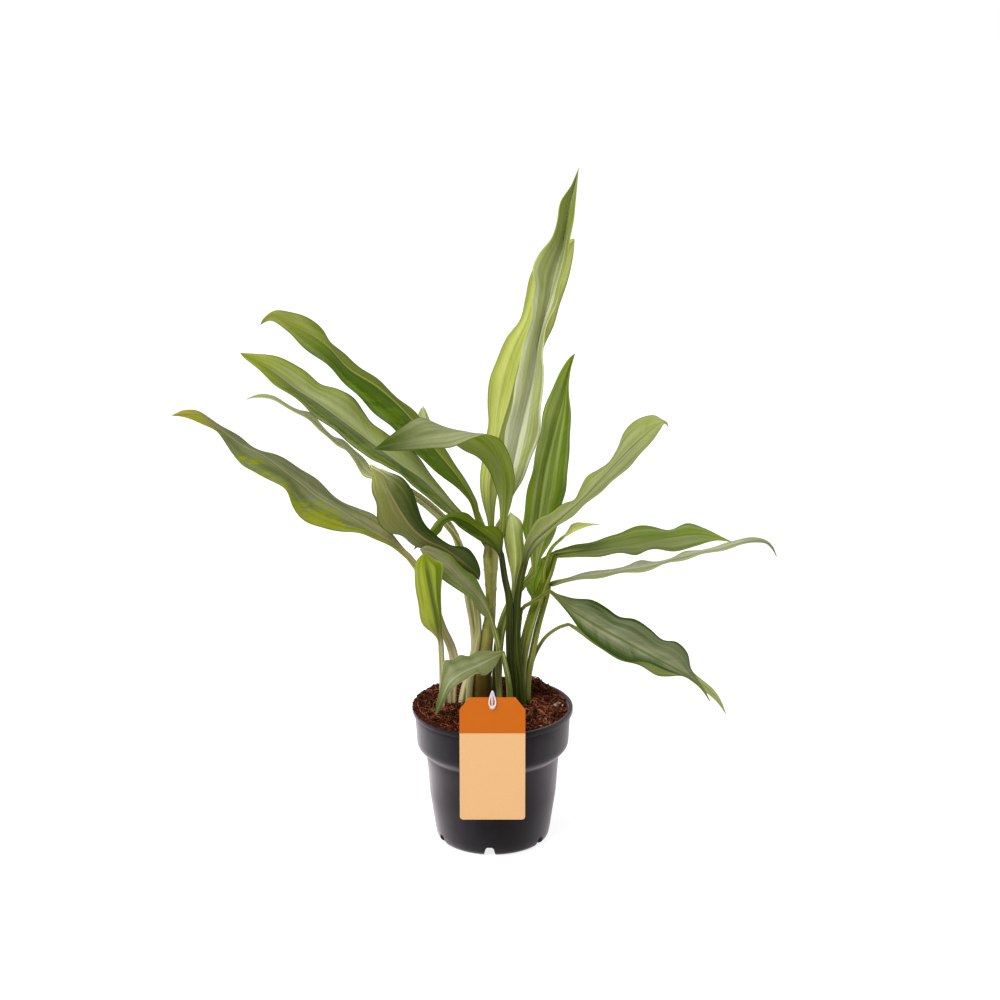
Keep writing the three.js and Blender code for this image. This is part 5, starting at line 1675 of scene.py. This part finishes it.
def litter_lumps(bm, count, seed, place, sizes):
    """Crumbs and flat chips of bark, sunk a little into the ground."""
    tone = bm.verts.layers.float["tone"]
    draw = random.Random(seed)
    for _ in range(count):
        x, y, ground = place(draw)
        size = draw.uniform(*sizes) * (1.8 if draw.random() > 0.93 else 1)
        made = bmesh.ops.create_icosphere(bm, subdivisions=1, radius=size * MM)
        shade = draw.random()
        for vertex in made["verts"]:
            vertex.co *= 1 + 0.35 * draw.uniform(-1, 1)
            vertex[tone] = shade
        spin = Matrix.Rotation(draw.uniform(0, 6.28), 4, "Z")
        tilt = Matrix.Rotation(draw.uniform(-0.6, 0.6), 4, "X")
        shape = Matrix.Diagonal((1.3, draw.uniform(0.5, 1), draw.uniform(0.3, 0.8), 1))
        spot = Matrix.Translation(Vector((x, y, ground + size * 0.2)) * MM)
        bmesh.ops.transform(bm, matrix=spot @ (spin @ tilt) @ shape, verts=made["verts"])


def runs_through(edge):
    """Whether an edge goes straight from the front of the tag to its back."""
    start, end = (vertex.co for vertex in edge.verts)
    return abs(start.x - end.x) < 1e-6 and abs(start.z - end.z) < 1e-6


def tag_bmesh():
    """The tag's card, with cut upper corners and rounded lower ones."""
    half = TAG_HIGH.x
    low = TAG_LOW.z
    high = TAG_HIGH.z
    shoulder = high - TAG_CORNER_DOWN * MM
    top_half = half - TAG_CORNER_IN * MM
    outline = [(-half, low), (half, low), (half, shoulder)]
    outline += [(top_half, high), (-top_half, high), (-half, shoulder)]
    bm = new_bmesh()
    push_outline(
        bm, [(x, TAG_HIGH.y, z) for x, z in outline], (0, TAG_LOW.y - TAG_HIGH.y, 0)
    )
    bmesh.ops.recalc_face_normals(bm, faces=bm.faces[:])
    feet = [e for e in bm.edges if runs_through(e) and e.verts[0].co.z < low + 1e-4]
    bmesh.ops.bevel(
        bm,
        geom=feet,
        offset=TAG_FOOT_ROUND * MM,
        segments=8,
        affect="EDGES",
        profile=0.5,
        material=-1,
    )
    return bm


def hole_cutter():
    """A round bar through the tag, to cut its hole with."""
    bm = bmesh.new()
    radius = HOLE_RADIUS * MM
    bmesh.ops.create_cone(
        bm, cap_ends=True, segments=40, radius1=radius, radius2=radius, depth=6 * MM
    )
    middle = (TAG_HIGH.y + TAG_LOW.y) / 2
    lay = Matrix.Translation((0, middle, TAG_HIGH.z - HOLE_DOWN * MM))
    bmesh.ops.transform(bm, matrix=lay @ Matrix.Rotation(math.pi / 2, 4, "X"), verts=bm.verts)
    return bm


def tie_bmesh():
    """The drop's loop and web, the stud in the tag's hole, and the filament behind the tag."""
    front = TAG_LOW.y / MM - DROP_GAP
    hole = TAG_HIGH.z / MM - HOLE_DOWN
    wide = DROP_HALF_WIDTH
    bm = new_bmesh()

    def drop(x, z):
        return Vector((x, front, hole + z))

    def web(share):
        return 1.3 * math.sin(math.pi * share) ** 0.7 + 0.1

    left = [drop(0, 0), drop(-wide * 0.8, 1.6), drop(-wide, 4.5)]
    left += [drop(-wide * 0.55, 9), drop(0, 13)]
    right = [Vector((-p.x, p.y, p.z)) for p in left]
    knot = drop(0, 12.6)
    filament = [knot, knot + Vector(FILAMENT_DIVE), seen(*FILAMENT_END)]
    for route, thick in ((left, 0.65), (right, 0.65), (filament, 0.58)):
        tube_along(bm, route, thick, 12, 28)
    tube_along(bm, [drop(0, 1.2), drop(0, 6), drop(0, 11.5)], web, 16, 24, 0.35)
    for radius, start, end in ((0.95, -0.4, 3.2), (2.7, 1.15, 1.95)):
        centre = [Vector((0, front + y, hole)) for y in (start, (start + end) / 2, end)]
        tube_along(bm, centre, radius, 20, 4)
    close_and_face(bm)
    return bm


class LeafSettings(bpy.types.PropertyGroup):
    relief: FloatProperty(
        name="Vein relief", description="How deep the veins look", default=0.0002, unit="LENGTH"
    )
    wave: FloatProperty(name="Wave", description="How much the leaves' margins ripple", default=1.0)


class PotSettings(bpy.types.PropertyGroup):
    sides: IntProperty(name="Sides", description="How finely the pot is turned", default=144)
    plastic: FloatVectorProperty(
        name="Plastic",
        description="Colour of the pot's plastic",
        default=paint(44, 43, 46)[:3],
        subtype="COLOR",
    )


class SoilSettings(bpy.types.PropertyGroup):
    strands: IntProperty(name="Strands", description="Number of coir strands", default=1100)
    lumps: IntProperty(name="Lumps", description="Number of crumbs in the pot", default=1500)
    spilled: IntProperty(name="Spilled", description="Number of crumbs on the rim", default=900)
    chips: IntProperty(name="Chips", description="Number of pale chips", default=26)
    tuft: IntProperty(name="Tuft", description="Number of strands that stand up", default=26)
    seed: IntProperty(name="Seed", description="Arrangement of the litter", default=7)


class TagSettings(bpy.types.PropertyGroup):
    split: FloatProperty(
        name="Band foot", description="Height where the top band ends", default=0.1074,
        unit="LENGTH",
    )
    band: FloatVectorProperty(
        name="Band", description="Colour of the tag's top", default=paint(200, 105, 8)[:3],
        subtype="COLOR",
    )
    card: FloatVectorProperty(
        name="Card", description="Colour of the tag's lower part", default=paint(231, 184, 132)[:3],
        subtype="COLOR",
    )


class StageSettings(bpy.types.PropertyGroup):
    daylight: FloatProperty(
        name="Daylight", description="Strength of the white surroundings", default=0.42
    )
    glow: FloatProperty(
        name="Floor glow", description="How much the pale floor is lit from below", default=0.82
    )
    key: FloatProperty(
        name="Key light", description="Power of the big soft lamp", default=80.0, unit="POWER"
    )
    fill: FloatProperty(
        name="Side light", description="Power of the left lamp, which the right one follows",
        default=8.0, unit="POWER",
    )


SETTINGS = {
    "lance_leaf": LeafSettings,
    "lance_pot": PotSettings,
    "lance_soil": SoilSettings,
    "lance_tag": TagSettings,
    "lance_stage": StageSettings,
}


class LANCE_OT_leaves(bpy.types.Operator):
    """Makes every leaf with its stalk"""

    bl_idname = "lance.leaves"
    bl_label = "Leaves"

    def execute(self, context):
        settings = context.scene.lance_leaf
        group = leaf_face_group()
        for number, shape in enumerate(LEAVES):
            own = {"phase": 0.9 * number, "seed": 1.7 * number}
            leaf = shape | LOOKS[shape["name"]] | own
            leaf["wave"] *= settings.wave
            material = leaf_material(leaf, group, settings)
            piece = leaf["name"].replace("leaf_", "lance_").replace("sheath_", "lance_sheath_")
            add_piece(piece, leaf_bmesh(leaf), material, [leaf["name"]], leaf["slot"])
        return {"FINISHED"}


class LANCE_OT_cane(bpy.types.Operator):
    """Makes the cane with its scars"""

    bl_idname = "lance.cane"
    bl_label = "Cane"

    def execute(self, context):
        material, tree, shader, node = speckled_material(
            "cane_finish", paint(110, 112, 40), paint(158, 156, 84), 150.0, 0.0004,
            rough=(0.6, 0.5), specular=0.2, spread=(0.35, 0.62), stretch=0.25,
        )
        right, _, height = apart(tree, object_place(tree))
        side = between(tree, right, CANE_PALE_FROM, CANE_PALE_TO, 0.0, 0.7)
        pale = mixed(tree, side, node.outputs["Color"], paint(206, 198, 134))
        low = between(tree, height, CANE_BROWN_TO, CANE_OLIVE_FROM, 0.85, 0.0)
        plug(tree, mixed(tree, low, pale, paint(112, 88, 42)), shader.inputs["Base Color"])
        add_piece("cane_bark", cane_bmesh(), material, ["cane"], "cane_bark")
        return {"FINISHED"}


class LANCE_OT_soil(bpy.types.Operator):
    """Makes the soil with its crumbs, coir strands and bark chips"""

    bl_idname = "lance.soil"
    bl_label = "Soil"

    def execute(self, context):
        settings = context.scene.lance_soil
        earth, *_ = speckled_material(
            "earth_finish", paint(30, 12, 5), paint(76, 36, 22), 620.0, 0.0012,
            rough=(0.95, 0.8), specular=0.08,
        )
        add_piece("soil_bed", soil_bmesh(), earth, ["soil"], "soil_peat")

        strands = toned_bmesh()
        litter_strands(strands, settings.strands, settings.seed)
        litter_tuft(strands, settings.tuft, settings.seed + 4)
        close_and_face(strands)
        coir = toned_material(
            "coir_finish", paint(104, 54, 32), paint(164, 108, 76), 0.15, 1.4, 0.85
        )
        add_piece("soil_strands", strands, coir, slot="soil_peat")

        lumps = toned_bmesh()
        litter_lumps(lumps, settings.lumps, settings.seed + 1, spread_wide, (0.4, 1.7))
        litter_lumps(lumps, settings.spilled, settings.seed + 2, spill_on_rim, (0.35, 1.15))
        crumb = toned_material("crumb_finish", paint(46, 21, 12), paint(98, 54, 36), 0.25, 1.4, 0.9)
        add_piece("soil_lumps", lumps, crumb, slot="soil_peat", smooth=False)

        chips = toned_bmesh()
        litter_lumps(chips, settings.chips, settings.seed + 3, chip_places, (0.5, 1.3))
        pale = toned_material(
            "chip_finish", paint(168, 140, 118), paint(214, 192, 172), 0.6, 1.1, 0.9
        )
        add_piece("soil_chips", chips, pale, slot="soil_peat", smooth=False)
        return {"FINISHED"}


class LANCE_OT_pot(bpy.types.Operator):
    """Makes the pot with its lip, collar and drain slots"""

    bl_idname = "lance.pot"
    bl_label = "Pot"

    def execute(self, context):
        settings = context.scene.lance_pot
        material, _, shader, _ = speckled_material(
            "pot_finish", (*settings.plastic, 1.0), paint(38, 36, 38), 60.0, 0.00004,
            rough=(0.42, 0.48), specular=0.06, stretch=0.4,
        )
        shader.inputs["Sheen Weight"].default_value = 0.6
        shader.inputs["Sheen Roughness"].default_value = 0.4
        shader.inputs["Sheen Tint"].default_value = (1.0, 0.88, 0.95, 1.0)
        shell = turned(pot_outside() + pot_inside(), settings.sides)
        piece = add_piece("nursery_pot", shell, material, ["pot"], "pot_plastic")
        cut_with(piece, slot_cutter())
        piece.data.set_sharp_from_angle(angle=math.radians(CORNER_ANGLE))
        return {"FINISHED"}


class LANCE_OT_tag(bpy.types.Operator):
    """Makes the blank tag of two-tone card"""

    bl_idname = "lance.tag"
    bl_label = "Tag"

    def execute(self, context):
        settings = context.scene.lance_tag
        material, tree, shader, node = speckled_material(
            "card_finish", (*settings.card, 1.0), paint(228, 180, 127), 900.0, 0.00004,
            rough=(0.6, 0.64), specular=0.15,
        )
        height = apart(tree, object_place(tree))[2]
        share = between(tree, height, settings.split - BAND_EDGE, settings.split + BAND_EDGE)
        banded = mixed(tree, share, node.outputs["Color"], (*settings.band, 1.0))
        plug(tree, banded, shader.inputs["Base Color"])
        piece = add_piece("swing_tag", tag_bmesh(), material, ["tag"], "tag_card", smooth=False)
        cut_with(piece, hole_cutter())
        soften = piece.modifiers.new("edge", "BEVEL")
        soften.width = TAG_EDGE_ROUND * MM
        soften.segments = 2
        soften.limit_method = "ANGLE"
        return {"FINISHED"}


class LANCE_OT_tie(bpy.types.Operator):
    """Makes the drop-shaped plastic tie"""

    bl_idname = "lance.tie"
    bl_label = "Tie"

    def execute(self, context):
        material, tree, shader = new_material("tie_finish", roughness=0.25, coat=0.3)
        height = apart(tree, object_place(tree))[2]
        share = between(tree, height, DROP_TINT_LOW, DROP_TINT_HIGH)
        milk = mixed(tree, share, paint(236, 214, 204), paint(214, 200, 214))
        plug(tree, milk, shader.inputs["Base Color"])
        add_piece("tag_drop", tie_bmesh(), material, ["tag_tie"], "tie_plastic")
        return {"FINISHED"}


class LANCE_OT_stage(bpy.types.Operator):
    """Sets the floor, the soft lights and the camera"""

    bl_idname = "lance.stage"
    bl_label = "Stage"

    def execute(self, context):
        settings = context.scene.lance_stage
        scene = context.scene
        bm = new_bmesh()
        bmesh.ops.create_grid(bm, x_segments=2, y_segments=2, size=6.0)
        mesh = bpy.data.meshes.new("floor")
        bm.to_mesh(mesh)
        bm.free()
        material, _, shader = new_material("floor_finish", roughness=0.9, specular=0.0)
        shader.inputs["Base Color"].default_value = (0.4, 0.4, 0.4, 1.0)
        shader.inputs["Emission Color"].default_value = (1.0, 1.0, 1.0, 1.0)
        shader.inputs["Emission Strength"].default_value = settings.glow
        mesh.materials.append(material)
        floor = bpy.data.objects.new("floor", mesh)
        scene.collection.objects.link(floor)

        world = bpy.data.worlds.new("surroundings")
        world.use_nodes = True
        background = world.node_tree.nodes["Background"]
        background.inputs["Color"].default_value = (1, 1, 1, 1)
        background.inputs["Strength"].default_value = settings.daylight
        scene.world = world
        for name, power, spot, aim in (
            ("key_lamp", settings.key, (-0.9, -1.2, 2.1), (0, 0, 0.22)),
            ("left_lamp", settings.fill, (-1.9, 0.5, 0.8), (0, 0, 0.15)),
            ("right_lamp", settings.fill * RIGHT_LAMP_GAIN, (1.9, 0.5, 0.8), (0, 0, 0.15)),
        ):
            data = bpy.data.lights.new(name, "AREA")
            data.energy = power
            data.size = LAMP_SIZE
            lamp = bpy.data.objects.new(name, data)
            lamp.location = spot
            lamp.rotation_euler = (Vector(aim) - Vector(spot)).to_track_quat("-Z", "Y").to_euler()
            scene.collection.objects.link(lamp)
        lens = bpy.data.cameras.new("eye")
        lens.lens = EYE_LENS
        lens.sensor_width = 36
        lens.clip_start = 0.05
        lens.clip_end = 50
        camera = bpy.data.objects.new("eye", lens)
        camera.location = (EYE_RIGHT * MM, EYE_BACK * MM, EYE_UP * MM)
        camera.rotation_euler = (math.radians(90 - EYE_PITCH), 0, 0)
        scene.collection.objects.link(camera)
        scene.camera = camera
        scene.view_settings.view_transform = "Standard"
        return {"FINISHED"}


class LANCE_PT_panel(bpy.types.Panel):
    """Lists what builds the plant"""

    bl_label = "Lance plant"
    bl_idname = "LANCE_PT_panel"
    bl_space_type = "VIEW_3D"
    bl_region_type = "UI"
    bl_category = "Plant"

    def draw(self, context):
        for name in SETTINGS:
            settings = getattr(context.scene, name)
            for key in settings.bl_rna.properties.keys():
                if key not in {"rna_type", "name"}:
                    self.layout.prop(settings, key)
        for maker in MAKERS:
            self.layout.operator(maker.bl_idname)


MAKERS = (
    LANCE_OT_cane,
    LANCE_OT_leaves,
    LANCE_OT_soil,
    LANCE_OT_pot,
    LANCE_OT_tag,
    LANCE_OT_tie,
    LANCE_OT_stage,
)


def register():
    for made in (*SETTINGS.values(), *MAKERS, LANCE_PT_panel):
        bpy.utils.register_class(made)
    for name, kind in SETTINGS.items():
        setattr(bpy.types.Scene, name, PointerProperty(type=kind))


def unregister():
    for name in SETTINGS:
        delattr(bpy.types.Scene, name)
    for made in (LANCE_PT_panel, *reversed(MAKERS), *reversed(list(SETTINGS.values()))):
        bpy.utils.unregister_class(made)


def main():
    register()
    bpy.ops.lance.cane()
    bpy.ops.lance.leaves()
    bpy.ops.lance.soil()
    bpy.ops.lance.pot()
    bpy.ops.lance.tag()
    bpy.ops.lance.tie()
    bpy.ops.lance.stage()


if __name__ == "__main__":
    main()
